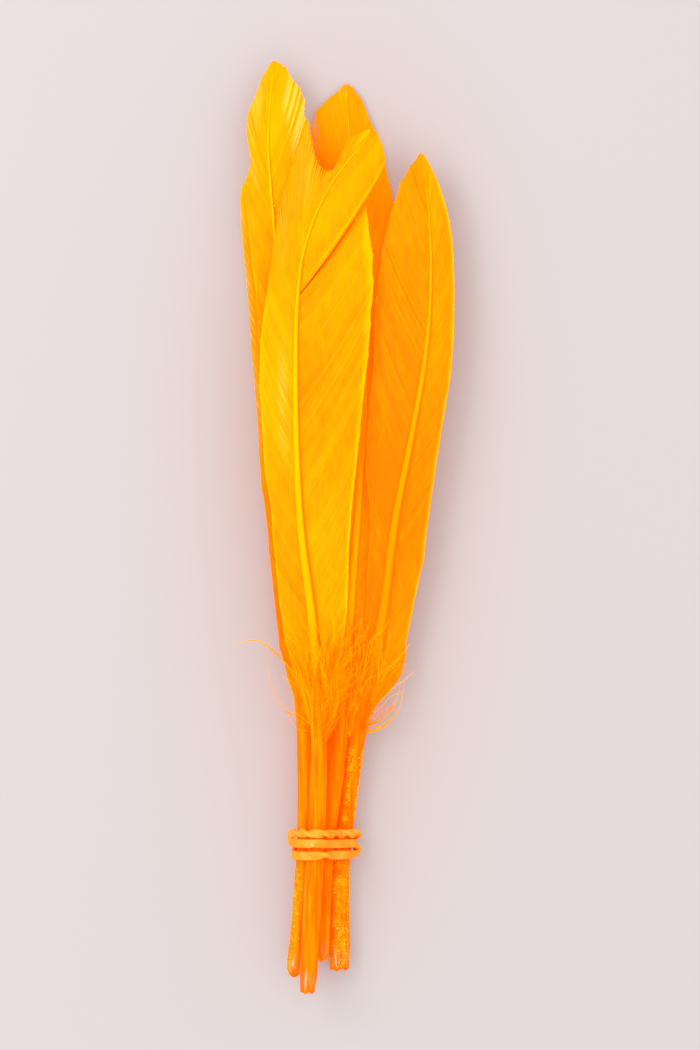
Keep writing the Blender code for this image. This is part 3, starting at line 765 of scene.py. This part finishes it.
def loft(name, rings, values):
    """A closed mesh over rings of points, with its map, and the values at each point as attributes."""
    count, sides = rings.shape[:2]
    ring = np.arange(count * sides).reshape(count, sides)
    faces, places = [], []
    for i in range(count - 1):
        for j in range(sides):
            k = (j + 1) % sides
            faces.append((ring[i, j], ring[i + 1, j], ring[i + 1, k], ring[i, k]))
            places.extend(((i, j), (i + 1, j), (i + 1, j + 1), (i, j + 1)))
    for end, row in ((count * sides, 0), (count * sides + 1, count - 1)):
        for j in range(sides):
            k = (j + 1) % sides
            pair = (ring[row, j], ring[row, k]) if row == 0 else (ring[row, k], ring[row, j])
            faces.append((end, *pair))
            places.extend(((row, j), (row, j), (row, j + 1)))
    mesh = bpy.data.meshes.new(name)
    vertices = np.vstack((rings.reshape(-1, 3), rings[0].mean(axis=0), rings[-1].mean(axis=0)))
    mesh.from_pydata(vertices, [], faces)
    for key, value in values.items():
        at_points = np.append(value.ravel(), (value[0].mean(), value[-1].mean()))
        mesh.attributes.new(key, "FLOAT", "POINT").data.foreach_set("value", at_points)
    layer = mesh.uv_layers.new(name="OFBake")
    layer.data.foreach_set("uv", np.array([(i / count, j / sides) for i, j in places]).ravel())
    mesh.shade_smooth()
    return mesh


def split_lines(points, attributes, breadth):
    """The separate lines in arrays of (line, point)."""
    for i in range(len(points)):
        yield points[i], {key: value[i] for key, value in attributes.items()}, breadth[i]


def grow(name, guide, tree, values):
    """Runs a Geometry Nodes tree on a guide mesh and returns the result as a plain mesh object."""
    source = new_object(name + "_guide", guide)
    modifier = source.modifiers.new(tree.name, "NODES")
    modifier.node_group = tree
    for item in tree.interface.items_tree:
        if item.item_type == "SOCKET" and item.in_out == "INPUT" and item.name in values:
            modifier[item.identifier] = values[item.name]
    graph = bpy.context.evaluated_depsgraph_get()
    mesh = bpy.data.meshes.new_from_object(source.evaluated_get(graph), depsgraph=graph)
    bpy.data.objects.remove(source)
    mesh.name = name
    return new_object(name, mesh)


def keep(piece, node=None):
    """Hands a finished piece to the frame: it rides with the bunch and shows instead of its node."""
    if not len(piece.data.polygons):
        raise RuntimeError(piece.name + " came out empty")
    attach(piece, "root")
    if node:
        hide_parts(node)


# ---------------------------------------------------------------- node trees


class Wire:
    """A socket that takes part in Python expressions: each operator adds a Math node."""

    def __init__(self, graph, socket):
        self.graph = graph
        self.socket = socket

    def maths(self, operation, *others, first=None):
        values = [self if first is None else first, *others]
        return self.graph.node(
            "ShaderNodeMath", {"operation": operation}, {i: value for i, value in enumerate(values)}
        )

    def __add__(self, other):
        return self.maths("ADD", other)

    def __radd__(self, other):
        return self.maths("ADD", other)

    def __sub__(self, other):
        return self.maths("SUBTRACT", other)

    def __rsub__(self, other):
        return self.maths("SUBTRACT", self, first=other)

    def __mul__(self, other):
        return self.maths("MULTIPLY", other)

    def __rmul__(self, other):
        return self.maths("MULTIPLY", other)

    def __pow__(self, other):
        return self.maths("POWER", other)

    def between(self, low, high, smooth=True):
        """0 where this is at low or less, 1 at high or more."""
        kind = "SMOOTHSTEP" if smooth else "LINEAR"
        return self.graph.node("ShaderNodeMapRange", {"interpolation_type": kind}, {0: self, 1: low, 2: high})


class Graph:
    """Adds nodes to one tree."""

    def __init__(self, tree):
        self.tree = tree

    def node(self, kind, settings=None, inputs=None, output=0):
        """A node of a kind, its settings made first, then its sockets' values or links. Gives one output."""
        made = self.tree.nodes.new(kind)
        for key, value in (settings or {}).items():
            setattr(made, key, value)
        for key, value in (inputs or {}).items():
            if isinstance(value, Wire):
                self.tree.links.new(value.socket, made.inputs[key])
            else:
                made.inputs[key].default_value = value
        return Wire(self, made.outputs[output])

    def mix(self, factor, first, second):
        """Two colours mixed."""
        return self.node("ShaderNodeMix", {"data_type": "RGBA"}, {0: factor, 6: first, 7: second}, output=2)


class GeometryGraph(Graph):
    """A Geometry Nodes tree whose inputs are a geometry, a material and what its table names."""

    def __init__(self, name, inputs):
        super().__init__(bpy.data.node_groups.new(name, "GeometryNodeTree"))
        self.socket("Geometry", "Geometry")
        for label, kind, default in inputs:
            self.socket(label, kind).default_value = default
        self.socket("Material", "Material")
        self.socket("Geometry", "Geometry", "OUTPUT")
        self.group_input = self.tree.nodes.new("NodeGroupInput")

    def socket(self, label, kind, way="INPUT"):
        return self.tree.interface.new_socket(label, in_out=way, socket_type="NodeSocket" + kind)

    def given(self, label):
        return Wire(self, self.group_input.outputs[label])

    def named(self, attribute, kind="FLOAT"):
        return self.node("GeometryNodeInputNamedAttribute", {"data_type": kind}, {"Name": attribute})

    def vector(self, x, y, z):
        return self.node("ShaderNodeCombineXYZ", None, {0: x, 1: y, 2: z})

    def scaled(self, vector, factor):
        return self.node("ShaderNodeVectorMath", {"operation": "SCALE"}, {0: vector, "Scale": factor})

    def random(self, low, high, stream=0.0):
        """A random vector for each point, or a random number where low and high are numbers."""
        kind, first, output = ("FLOAT", 2, 1) if isinstance(low, float) else ("FLOAT_VECTOR", 0, 0)
        return self.node(
            "FunctionNodeRandomValue", {"data_type": kind},
            {first: low, first + 1: high, "Seed": self.given("Seed") + stream}, output=output,
        )

    def leaning(self, places, low, high):
        """The rotations of scattered points, each turned further by an angle between low and high."""
        upright = Wire(self, places.socket.node.outputs["Rotation"])
        lean = self.node("FunctionNodeEulerToRotation", None, {0: self.random(low, high)})
        return self.node("FunctionNodeRotateRotation", {"rotation_space": "LOCAL"}, {0: upright, 1: lean})

    def instances(self, places, instance, turned, size):
        return self.node(
            "GeometryNodeInstanceOnPoints", None,
            {"Points": places, "Instance": instance, "Rotation": turned, "Scale": size},
        )

    def frayed(self, geometry):
        """Points moved by noise, more towards the ends of the barbs."""
        position = self.node("GeometryNodeInputPosition")
        noise = self.node(
            "ShaderNodeTexNoise", {"noise_dimensions": "4D"},
            {"Vector": position, "W": self.given("Seed"), "Scale": 260.0, "Detail": 2.0}, output="Color",
        )
        centred = self.node("ShaderNodeVectorMath", {"operation": "SUBTRACT"}, {0: noise, 1: (0.5, 0.5, 0.5)})
        amount = self.named("reach") ** 2.0 * self.given("Fray")
        return self.node(
            "GeometryNodeSetPosition", None, {"Geometry": geometry, "Offset": self.scaled(centred, amount)}
        )

    def swept(self, geometry, section):
        """Sections swept along lines, as broad and as turned as the guide says."""
        curve = self.node("GeometryNodeMeshToCurve", None, {0: geometry})
        curve = self.node(
            "GeometryNodeSetCurveNormal", {"mode": "FREE"},
            {"Curve": curve, "Normal": self.named("breadth", "FLOAT_VECTOR")},
        )
        return self.node("GeometryNodeCurveToMesh", None, {
            "Curve": curve, "Profile Curve": section, "Scale": self.named("taper"), "Fill Caps": True,
        })

    def finish(self, geometry, smooth=False, mapped=True):
        """The map for the finish if its guide has one, then real geometry with its material."""
        if mapped:
            geometry = self.node(
                "GeometryNodeStoreNamedAttribute", {"data_type": "FLOAT2", "domain": "CORNER"},
                {"Geometry": geometry, "Name": "OFBake",
                 "Value": self.vector(self.named("along"), self.named("across"), 0.0)},
            )
        shaded = self.node("GeometryNodeSetShadeSmooth", None, {"Geometry": geometry, "Shade Smooth": smooth})
        real = self.node("GeometryNodeRealizeInstances", None, {"Geometry": shaded})
        done = self.node(
            "GeometryNodeSetMaterial", None, {"Geometry": real, "Material": self.given("Material")}
        )
        output = self.tree.nodes.new("NodeGroupOutput")
        self.tree.links.new(done.socket, output.inputs[0])
        return self.tree


def down_tree():
    """Thin soft barbs along guide lines, set all round with tiny barbules."""
    graph = GeometryGraph("Down", (
        ("Barb width", "Float", 0.09 * MM), ("Barbule length", "Float", 1.4 * MM),
        ("Barbule width", "Float", 0.045 * MM), ("Barbule spacing", "Float", 0.13 * MM),
        ("Fray", "Float", 1.2 * MM), ("Seed", "Int", 1),
    ))
    section = graph.node(
        "GeometryNodeCurvePrimitiveCircle", {"mode": "RADIUS"},
        {"Resolution": 3, "Radius": graph.given("Barb width") * 0.5},
    )
    lines = graph.frayed(graph.given("Geometry"))
    barbs = graph.swept(lines, section)
    curve = graph.node("GeometryNodeMeshToCurve", None, {0: lines})
    place = graph.node(
        "GeometryNodeCurveToPoints", {"mode": "LENGTH"}, {0: curve, "Length": graph.given("Barbule spacing")}
    )
    turned = graph.leaning(place, (0.5, 0.0, 0.0), (1.15, 0.0, math.tau))
    spike = graph.node(
        "GeometryNodeMeshCone", {"fill_type": "NGON"},
        {"Vertices": 3, "Side Segments": 1, "Fill Segments": 1, "Radius Top": 0.0,
         "Radius Bottom": graph.given("Barbule width") * 0.5, "Depth": graph.given("Barbule length")},
    )
    size = graph.random(0.35, 1.15, 7.0) * graph.named("fluff") * (1.0 - 0.6 * graph.named("reach") ** 2.0)
    barbules = graph.instances(place, spike, turned, graph.vector(1.0, 1.0, size))
    real = graph.node("GeometryNodeRealizeInstances", None, {"Geometry": barbules})
    join = graph.node("GeometryNodeJoinGeometry", None, {0: barbs})
    graph.tree.links.new(real.socket, join.socket.node.inputs[0])
    return graph.finish(join)


def barb_tree():
    """Flat ridged barbs along guide lines."""
    graph = GeometryGraph("Barbs", (
        ("Barb width", "Float", 0.40 * MM), ("Barb ridge", "Float", 0.035 * MM),
        ("Fray", "Float", 0.1 * MM), ("Seed", "Int", 1),
    ))
    section = graph.node(
        "GeometryNodeCurvePrimitiveQuadrilateral", {"mode": "KITE"},
        {"Width": graph.given("Barb width"), "Top Height": graph.given("Barb ridge"),
         "Bottom Height": graph.given("Barb ridge") * 0.5},
    )
    return graph.finish(graph.swept(graph.frayed(graph.given("Geometry")), section))


def band_tree():
    """A strap with rounded edges along a closed guide line."""
    graph = GeometryGraph("Band", (
        ("Width", "Float", BAND_WIDTH), ("Thickness", "Float", BAND_THICKNESS),
    ))
    strap = graph.node(
        "GeometryNodeCurvePrimitiveQuadrilateral", {"mode": "RECTANGLE"},
        {"Width": graph.given("Width"), "Height": graph.given("Thickness")},
    )
    rounded = graph.node(
        "GeometryNodeFilletCurve", {"mode": "POLY"},
        {"Curve": strap, "Count": 3, "Radius": graph.given("Thickness") * 0.35},
    )
    return graph.finish(graph.swept(graph.given("Geometry"), rounded), smooth=True, mapped=False)


def scurf_tree():
    """Small dry flakes on a surface, as dense as its scurf attribute says."""
    graph = GeometryGraph("Scurf", (
        ("Flakes to a square metre", "Float", 1.8e7), ("Flake size", "Float", 0.13 * MM), ("Seed", "Int", 1),
    ))
    patches = graph.node(
        "ShaderNodeTexNoise", {"noise_dimensions": "4D"},
        {"Vector": graph.node("GeometryNodeInputPosition"), "W": graph.given("Seed"), "Scale": 420.0},
    )
    density = graph.named("scurf") * graph.given("Flakes to a square metre") * patches.between(0.44, 0.60)
    places = graph.node(
        "GeometryNodeDistributePointsOnFaces", {"distribute_method": "RANDOM"},
        {"Mesh": graph.given("Geometry"), "Density": density, "Seed": graph.given("Seed")},
    )
    turned = graph.leaning(places, (-0.7, -0.7, 0.0), (0.7, 0.7, math.tau))
    scattered = graph.random((-0.1 * MM, -0.6 * MM, 0.1 * MM), (1.4 * MM, 0.6 * MM, 0.35 * MM), 5.0)
    scattered = graph.scaled(scattered, graph.named("on_vane"))
    places = graph.node("GeometryNodeSetPosition", None, {"Geometry": places, "Offset": scattered})
    size = graph.random((0.5, 0.4, 0.2), (2.6, 1.8, 0.6), 3.0)
    flake = graph.node(
        "GeometryNodeMeshIcoSphere", None, {"Radius": graph.given("Flake size"), "Subdivisions": 1}
    )
    return graph.finish(graph.instances(places, flake, turned, size), mapped=False)


# ---------------------------------------------------------------- finishes


def new_material(name):
    """A material, and the graph of its empty tree."""
    found = bpy.data.materials.new(name)
    found.use_nodes = True
    found.node_tree.nodes.clear()
    return found, Graph(found.node_tree)


def surface(graph, values, through=None, share=0.0):
    """Ends a material's tree: a Principled shader, with a share that lets a colour's light through."""
    shader = graph.node("ShaderNodeBsdfPrincipled", None, values)
    if through is not None:
        thin = graph.node("ShaderNodeBsdfTranslucent", None, {"Color": through})
        shader = graph.node("ShaderNodeMixShader", None, {0: share, 1: shader, 2: thin})
    output = graph.tree.nodes.new("ShaderNodeOutputMaterial")
    graph.tree.links.new(shader.socket, output.inputs["Surface"])


def attribute(graph, name):
    return graph.node("ShaderNodeAttribute", {"attribute_name": name}, output="Fac")


def place_on_object(graph, scale, shift=(0.0, 0.0, 0.0)):
    """The place on the object, scaled and shifted."""
    place = graph.node("ShaderNodeTexCoord", output="Object")
    return graph.node("ShaderNodeMapping", None, {"Vector": place, "Scale": scale, "Location": shift})


def noise(graph, scale, detail=3.0, stretch=(1, 1, 1)):
    place = place_on_object(graph, stretch)
    return graph.node(
        "ShaderNodeTexNoise", None, {"Vector": place, "Scale": scale, "Detail": detail, "Roughness": 0.55}
    )


def bump(graph, height, strength, distance):
    return graph.node(
        "ShaderNodeBump", None, {"Height": height, "Strength": strength, "Distance": distance}
    )


def vane_finish(colours):
    """Dyed barbs: patchy orange, paler at worn ends, with painted highlights, shade and a faint painted glow,
    a soft gloss and some light coming through.
    """
    made, graph = new_material("dyed vane")
    patches = noise(graph, 70.0, detail=4.0, stretch=(1.0, 0.45, 1.0))
    fine = noise(graph, 900.0, detail=2.0, stretch=(1.0, 0.3, 1.0))
    # The dye attribute brings painted light and shade along with the dye
    dye = attribute(graph, "dye") + 0.45 * (patches - 0.5) + 0.35 * (fine - 0.5)
    colour = graph.mix(dye.between(0.0, 1.0, smooth=False), colours.deep, colours.bright)
    colour = graph.mix(attribute(graph, "pale"), colour, colours.pale)
    surface(graph, {
        "Base Color": colour, "Roughness": 0.5 + 0.2 * patches, "Normal": bump(graph, fine, 0.15, 0.05 * MM),
        "IOR": 1.18, "Specular Tint": colours.gloss,
        # Painted glow: a faint emission that keeps shaded barbs bright orange
        "Emission Color": colours.through, "Emission Strength": 0.14,
    }, through=colours.through, share=0.2)
    return made


def quill_finish(colours):
    """Horn: glossy, streaked and deep orange where it is bare, and dyed like the vane between its sides,
    with painted shade down the shaft's right side and a faint painted glow.
    """
    made, graph = new_material("quill")
    along = attribute(graph, "along")
    streaks = noise(graph, 1500.0, stretch=(1.0, 0.04, 1.0))
    blotches = noise(graph, 260.0, stretch=(1.0, 0.35, 1.0))
    dye = 0.5 + 1.2 * (streaks - 0.5) + 0.8 * (blotches - 0.5)
    bare = graph.mix(dye.between(0.3, 0.75), colours.quill_deep, colours.quill)
    dusty = attribute(graph, "scurf") * noise(graph, 500.0).between(0.42, 0.62)
    bare = graph.mix(0.8 * dusty.between(0.0, 1.0), bare, colours.scurf)
    shaft_dye_and_shade = attribute(graph, "dye") + 0.06 + 0.14 * along.between(0.35, 0.62) + 0.2 * (streaks - 0.5)
    # Painted shade: the shaft is painted deeper on its right side, away from the key light
    shaft_dye_and_shade = shaft_dye_and_shade - 0.6 * attribute(graph, "around").between(0.3, 0.85)
    shaft = graph.mix(shaft_dye_and_shade.between(0.0, 1.0, smooth=False), colours.deep, colours.bright)
    colour = graph.mix(along.between(0.27, 0.38), bare, shaft)
    shine = along.between(0.002, 0.011) * (0.4 - 0.4 * along.between(0.011, 0.03))
    surface(graph, {
        "Base Color": colour, "Roughness": 0.26 + 0.22 * blotches,
        "Normal": bump(graph, streaks, 0.35, 0.08 * MM), "IOR": 1.1, "Specular Tint": colours.gloss,
        "Coat Weight": shine, "Coat Roughness": 0.27,
        # Painted glow: a faint emission that keeps the shaded quill bright orange
        "Emission Color": colours.through, "Emission Strength": 0.1,
    })
    return made


def down_finish(colours):
    """Down: thin, dry and half see-through, with a faint painted glow."""
    made, graph = new_material("down")
    dye = attribute(graph, "dye") + 0.25 * attribute(graph, "reach")
    colour = graph.mix(dye.between(0.0, 1.0, smooth=False), colours.down_deep, colours.down)
    surface(graph, {
        "Base Color": colour, "Roughness": 0.85, "IOR": 1.05,
        # Painted glow: a faint emission that keeps shaded down bright orange
        "Emission Color": colours.down_deep, "Emission Strength": 0.16,
    }, through=colours.down, share=0.25)
    return made


def scurf_finish(colours):
    """Flakes: dry and powdery."""
    made, graph = new_material("scurf")
    colour = graph.mix(0.1 * noise(graph, 1500.0).between(0.35, 0.65), colours.scurf, colours.pale)
    surface(graph, {"Base Color": colour, "Roughness": 0.8, "Specular IOR Level": 0.15})
    return made


def band_finish(colours):
    """Rubber: stretched, slightly glossy, cloudy orange."""
    made, graph = new_material("rubber band")
    clouds = noise(graph, 320.0)
    colour = graph.mix(clouds.between(0.35, 0.7), colours.band, colours.band_pale)
    grain = noise(graph, 2600.0, detail=2.0)
    surface(graph, {
        "Base Color": colour, "Roughness": 0.3 + 0.2 * clouds, "Normal": bump(graph, grain, 0.2, 0.03 * MM),
        "IOR": 1.22, "Coat Weight": 0.08, "Coat Roughness": 0.25,
    })
    return made


def table_finish(settings):
    """The pale table, with the warm light that the feathers throw on it painted in close to the bunch,
    and a painted glow of its own that keeps its shadows light.
    """
    made, graph = new_material("pale table")
    # Painted light: warmer colour close to the bunch, fading out away from it
    near = place_on_object(graph, scale=(21.0, 8.5, 0.0), shift=(0.0, -0.12, 0.0))
    near = graph.node("ShaderNodeVectorMath", {"operation": "LENGTH"}, {0: near}, output="Value")
    colour = graph.mix(0.7 - 0.7 * near.between(0.2, 1.0), tuple(settings.floor), tuple(settings.painted_bounce))
    surface(graph, {
        "Base Color": colour, "Roughness": 0.85, "Specular IOR Level": 0.2,
        # Painted glow: the table's own emission keeps its shadows light
        "Emission Color": colour, "Emission Strength": 0.5,
    })
    return made


# ---------------------------------------------------------------- settings


def colour_setting(name, description, default):
    return bpy.props.FloatVectorProperty(
        name=name, description=description, default=(*default, 1.0), size=4, min=0.0, max=1.0, subtype="COLOR"
    )


def length_setting(name, description, default):
    return bpy.props.FloatProperty(
        name=name, description=description, default=default, min=0.0, precision=5,
        subtype="DISTANCE", unit="LENGTH",
    )


class DyeSettings(bpy.types.PropertyGroup):
    """Colours of the dyed feathers and of the band."""

    deep: colour_setting("Deep dye", "Vane where the dye took most", (1.0, 0.152, 0.0))
    bright: colour_setting("Bright dye", "Vane where the dye took least", (1.0, 0.46, 0.0))
    pale: colour_setting("Worn ends", "Barbs and flakes that lost their dye", (1.0, 0.66, 0.11))
    # This colour also paints a faint glow on the vanes and quills
    through: colour_setting("Light let through", "Light that comes through barbs and down", (1.0, 0.34, 0.0))
    gloss: colour_setting("Gloss", "Tint of the soft reflection on barbs and quills", (1.0, 0.55, 0.12))
    quill: colour_setting("Quill", "Bare quill", (1.0, 0.18, 0.0))
    quill_deep: colour_setting("Deep quill", "Streaks of the bare quill", (1.0, 0.095, 0.0))
    down: colour_setting("Down", "Ends of the loose down", (1.0, 0.56, 0.0))
    # This colour also paints a faint glow on the down
    down_deep: colour_setting("Deep down", "Down near the quill", (1.0, 0.21, 0.0))
    scurf: colour_setting("Scurf", "Flakes on the quills", (1.0, 0.33, 0.0))
    band: colour_setting("Band", "Rubber band", (1.0, 0.215, 0.0))
    band_pale: colour_setting("Pale band", "Clouds in the rubber band", (1.0, 0.30, 0.015))


class BarbSettings(bpy.types.PropertyGroup):
    """Sizes of the barbs."""

    spacing: length_setting("Spacing", "Distance between barbs along the shaft", 0.40 * MM)
    width: length_setting("Width", "Width of a barb", 0.40 * MM)
    ridge: length_setting("Ridge", "Height of the ridge along a barb", 0.035 * MM)
    fray: length_setting("Fray", "How far barb ends stray", 0.1 * MM)


class DownSettings(bpy.types.PropertyGroup):
    """Sizes of the down at the foot of each vane."""

    width: length_setting("Width", "Width of a barb of down", 0.09 * MM)
    barbule_length: length_setting("Barbule length", "Length of the barbules on it", 1.4 * MM)
    barbule_width: length_setting("Barbule width", "Width of a barbule", 0.045 * MM)
    barbule_spacing: length_setting("Barbule spacing", "Distance between barbules", 0.13 * MM)


class StageSettings(bpy.types.PropertyGroup):
    """The table, the light and the camera."""

    floor: colour_setting("Table", "Colour of the table", (0.323, 0.2935, 0.2925))
    # Painted light: the warm light that the feathers throw on the table close to the bunch
    painted_bounce: colour_setting("Glow", "Colour of the table close to the bunch", (0.335, 0.257, 0.2376))
    key_power: bpy.props.FloatProperty(
        name="Key light", description="Power of the soft light from the upper left", default=3.2, unit="POWER"
    )
    fill: bpy.props.FloatProperty(
        name="Fill", description="Strength of the light from all round", default=1.68
    )
    glint_power: bpy.props.FloatProperty(
        name="Glint", description="Power of the small lamp that shines on the quill ends", default=8.0,
        unit="POWER",
    )
    height: length_setting("Camera height", "Height of the camera above the table", 2.4)
    view_length: length_setting("View", "Length of table that the camera sees", 0.21)


# ---------------------------------------------------------------- operators


class FEATHERS_OT_shafts(bpy.types.Operator):
    """Make each feather's quill and shaft"""

    bl_idname = "feathers.shafts"
    bl_label = "Quills and shafts"

    def execute(self, context):
        finish = quill_finish(context.scene.feather_dye)
        for feather in FEATHERS:
            shaft = SHAFTS[feather.name]
            rings, values = quill_rings(shaft)
            mesh = loft(feather.name + "_shaft", rings, values)
            mesh.materials.append(finish)
            keep(new_object(mesh.name, mesh), feather.name)
        return {"FINISHED"}


class FEATHERS_OT_down(bpy.types.Operator):
    """Grow the loose down at the foot of each vane"""

    bl_idname = "feathers.down"
    bl_label = "Down"

    def execute(self, context):
        sizes = context.scene.feather_down
        tree, finish = down_tree(), down_finish(context.scene.feather_dye)
        for number, feather in enumerate(FEATHERS):
            rng = np.random.default_rng(200 + number)
            tuft = down_guides(SHAFTS[feather.name], feather.down, rng)
            lines = [*split_lines(*tuft), *stray_guides(feather)]
            piece = grow(feather.name + "_down", guide_mesh(feather.name, lines), tree, {
                "Barb width": sizes.width, "Barbule length": sizes.barbule_length,
                "Barbule width": sizes.barbule_width, "Barbule spacing": sizes.barbule_spacing,
                "Seed": number, "Material": finish,
            })
            keep(piece)
        return {"FINISHED"}


class FEATHERS_OT_vanes(bpy.types.Operator):
    """Grow the barbs on both sides of each feather"""

    bl_idname = "feathers.vanes"
    bl_label = "Vanes"

    def execute(self, context):
        sizes = context.scene.feather_barbs
        tree, finish = barb_tree(), vane_finish(context.scene.feather_dye)
        for number, feather in enumerate(FEATHERS):
            shaft = SHAFTS[feather.name]
            rng = np.random.default_rng(100 + number)
            lines = []
            for side in (-1, 1):
                lines.extend(split_lines(*barb_guides(shaft, side, sizes.spacing, rng)))
            piece = grow(feather.name + "_vane", guide_mesh(feather.name, lines), tree, {
                "Barb width": sizes.width, "Barb ridge": sizes.ridge, "Fray": sizes.fray, "Seed": number,
                "Material": finish,
            })
            keep(piece)
        return {"FINISHED"}


class FEATHERS_OT_scurf(bpy.types.Operator):
    """Scatter the dry flakes on the quills that have them"""

    bl_idname = "feathers.scurf"
    bl_label = "Scurf"

    def execute(self, context):
        tree, finish = scurf_tree(), scurf_finish(context.scene.feather_dye)
        for number, feather in enumerate(FEATHERS):
            if feather.scurf:
                rings, values = quill_rings(SHAFTS[feather.name])
                guide = loft(feather.name, rings, values)
                piece = grow(feather.name + "_scurf", guide, tree, {"Seed": number, "Material": finish})
                keep(piece)
        return {"FINISHED"}


class FEATHERS_OT_band(bpy.types.Operator):
    """Wind the rubber band round the quills"""

    bl_idname = "feathers.band"
    bl_label = "Rubber band"

    def execute(self, context):
        guide = guide_mesh("band", [band_guide()], closed=True)
        piece = grow("band", guide, band_tree(), {"Material": band_finish(context.scene.feather_dye)})
        keep(piece, "rubber_band")
        return {"FINISHED"}


class FEATHERS_OT_stage(bpy.types.Operator):
    """Lay the table, the lights and the camera"""

    bl_idname = "feathers.stage"
    bl_label = "Stage"

    def execute(self, context):
        settings = context.scene.feather_stage
        bpy.ops.mesh.primitive_grid_add(
            x_subdivisions=8, y_subdivisions=8, size=TABLE_SIZE, location=(0, 0, -TABLE_DROP)
        )
        table = context.active_object
        table.name = "table"
        table.data.materials.append(table_finish(settings))
        lamp("key", settings.key_power, KEY_SIZE, KEY_PLACE)
        lamp("glint", settings.glint_power, GLINT_SIZE, GLINT_PLACE).visible_diffuse = False
        world = bpy.data.worlds.new("soft light")
        world.use_nodes = True
        background = world.node_tree.nodes["Background"]
        background.inputs["Color"].default_value = FILL_COLOUR
        background.inputs["Strength"].default_value = settings.fill
        context.scene.world = world
        context.scene.view_settings.view_transform = "Standard"
        lens = bpy.data.cameras.new("camera")
        lens.lens = lens.sensor_width * settings.height / settings.view_length
        lens.clip_end = CAMERA_REACH
        camera = new_object("camera", lens)
        camera.location = (*CAMERA_CENTRE, settings.height)
        context.scene.camera = camera
        return {"FINISHED"}


OPERATORS = (
    FEATHERS_OT_shafts, FEATHERS_OT_vanes, FEATHERS_OT_down, FEATHERS_OT_scurf, FEATHERS_OT_band,
    FEATHERS_OT_stage,
)


class FEATHERS_PT_panel(bpy.types.Panel):
    """Lists what builds the bunch"""

    bl_idname = "FEATHERS_PT_panel"
    bl_label = "Goose feather bunch"
    bl_space_type = "VIEW_3D"
    bl_region_type = "UI"
    bl_category = "Feathers"

    def draw(self, context):
        for operator in OPERATORS:
            self.layout.operator(operator.bl_idname)
        for name in SETTINGS:
            box = self.layout.box()
            group = getattr(context.scene, name)
            for key in group.__annotations__:
                box.prop(group, key)


SETTINGS = {
    "feather_dye": DyeSettings, "feather_barbs": BarbSettings, "feather_down": DownSettings,
    "feather_stage": StageSettings,
}


def register():
    for group in SETTINGS.values():
        bpy.utils.register_class(group)
    for name, group in SETTINGS.items():
        setattr(bpy.types.Scene, name, bpy.props.PointerProperty(type=group))
    for made in (*OPERATORS, FEATHERS_PT_panel):
        bpy.utils.register_class(made)


def unregister():
    for made in reversed((*OPERATORS, FEATHERS_PT_panel)):
        bpy.utils.unregister_class(made)
    for name in SETTINGS:
        delattr(bpy.types.Scene, name)
    for group in reversed(SETTINGS.values()):
        bpy.utils.unregister_class(group)


def main():
    register()
    for operator in OPERATORS:
        group, name = operator.bl_idname.split(".")
        getattr(getattr(bpy.ops, group), name)()


if __name__ == "__main__":
    main()
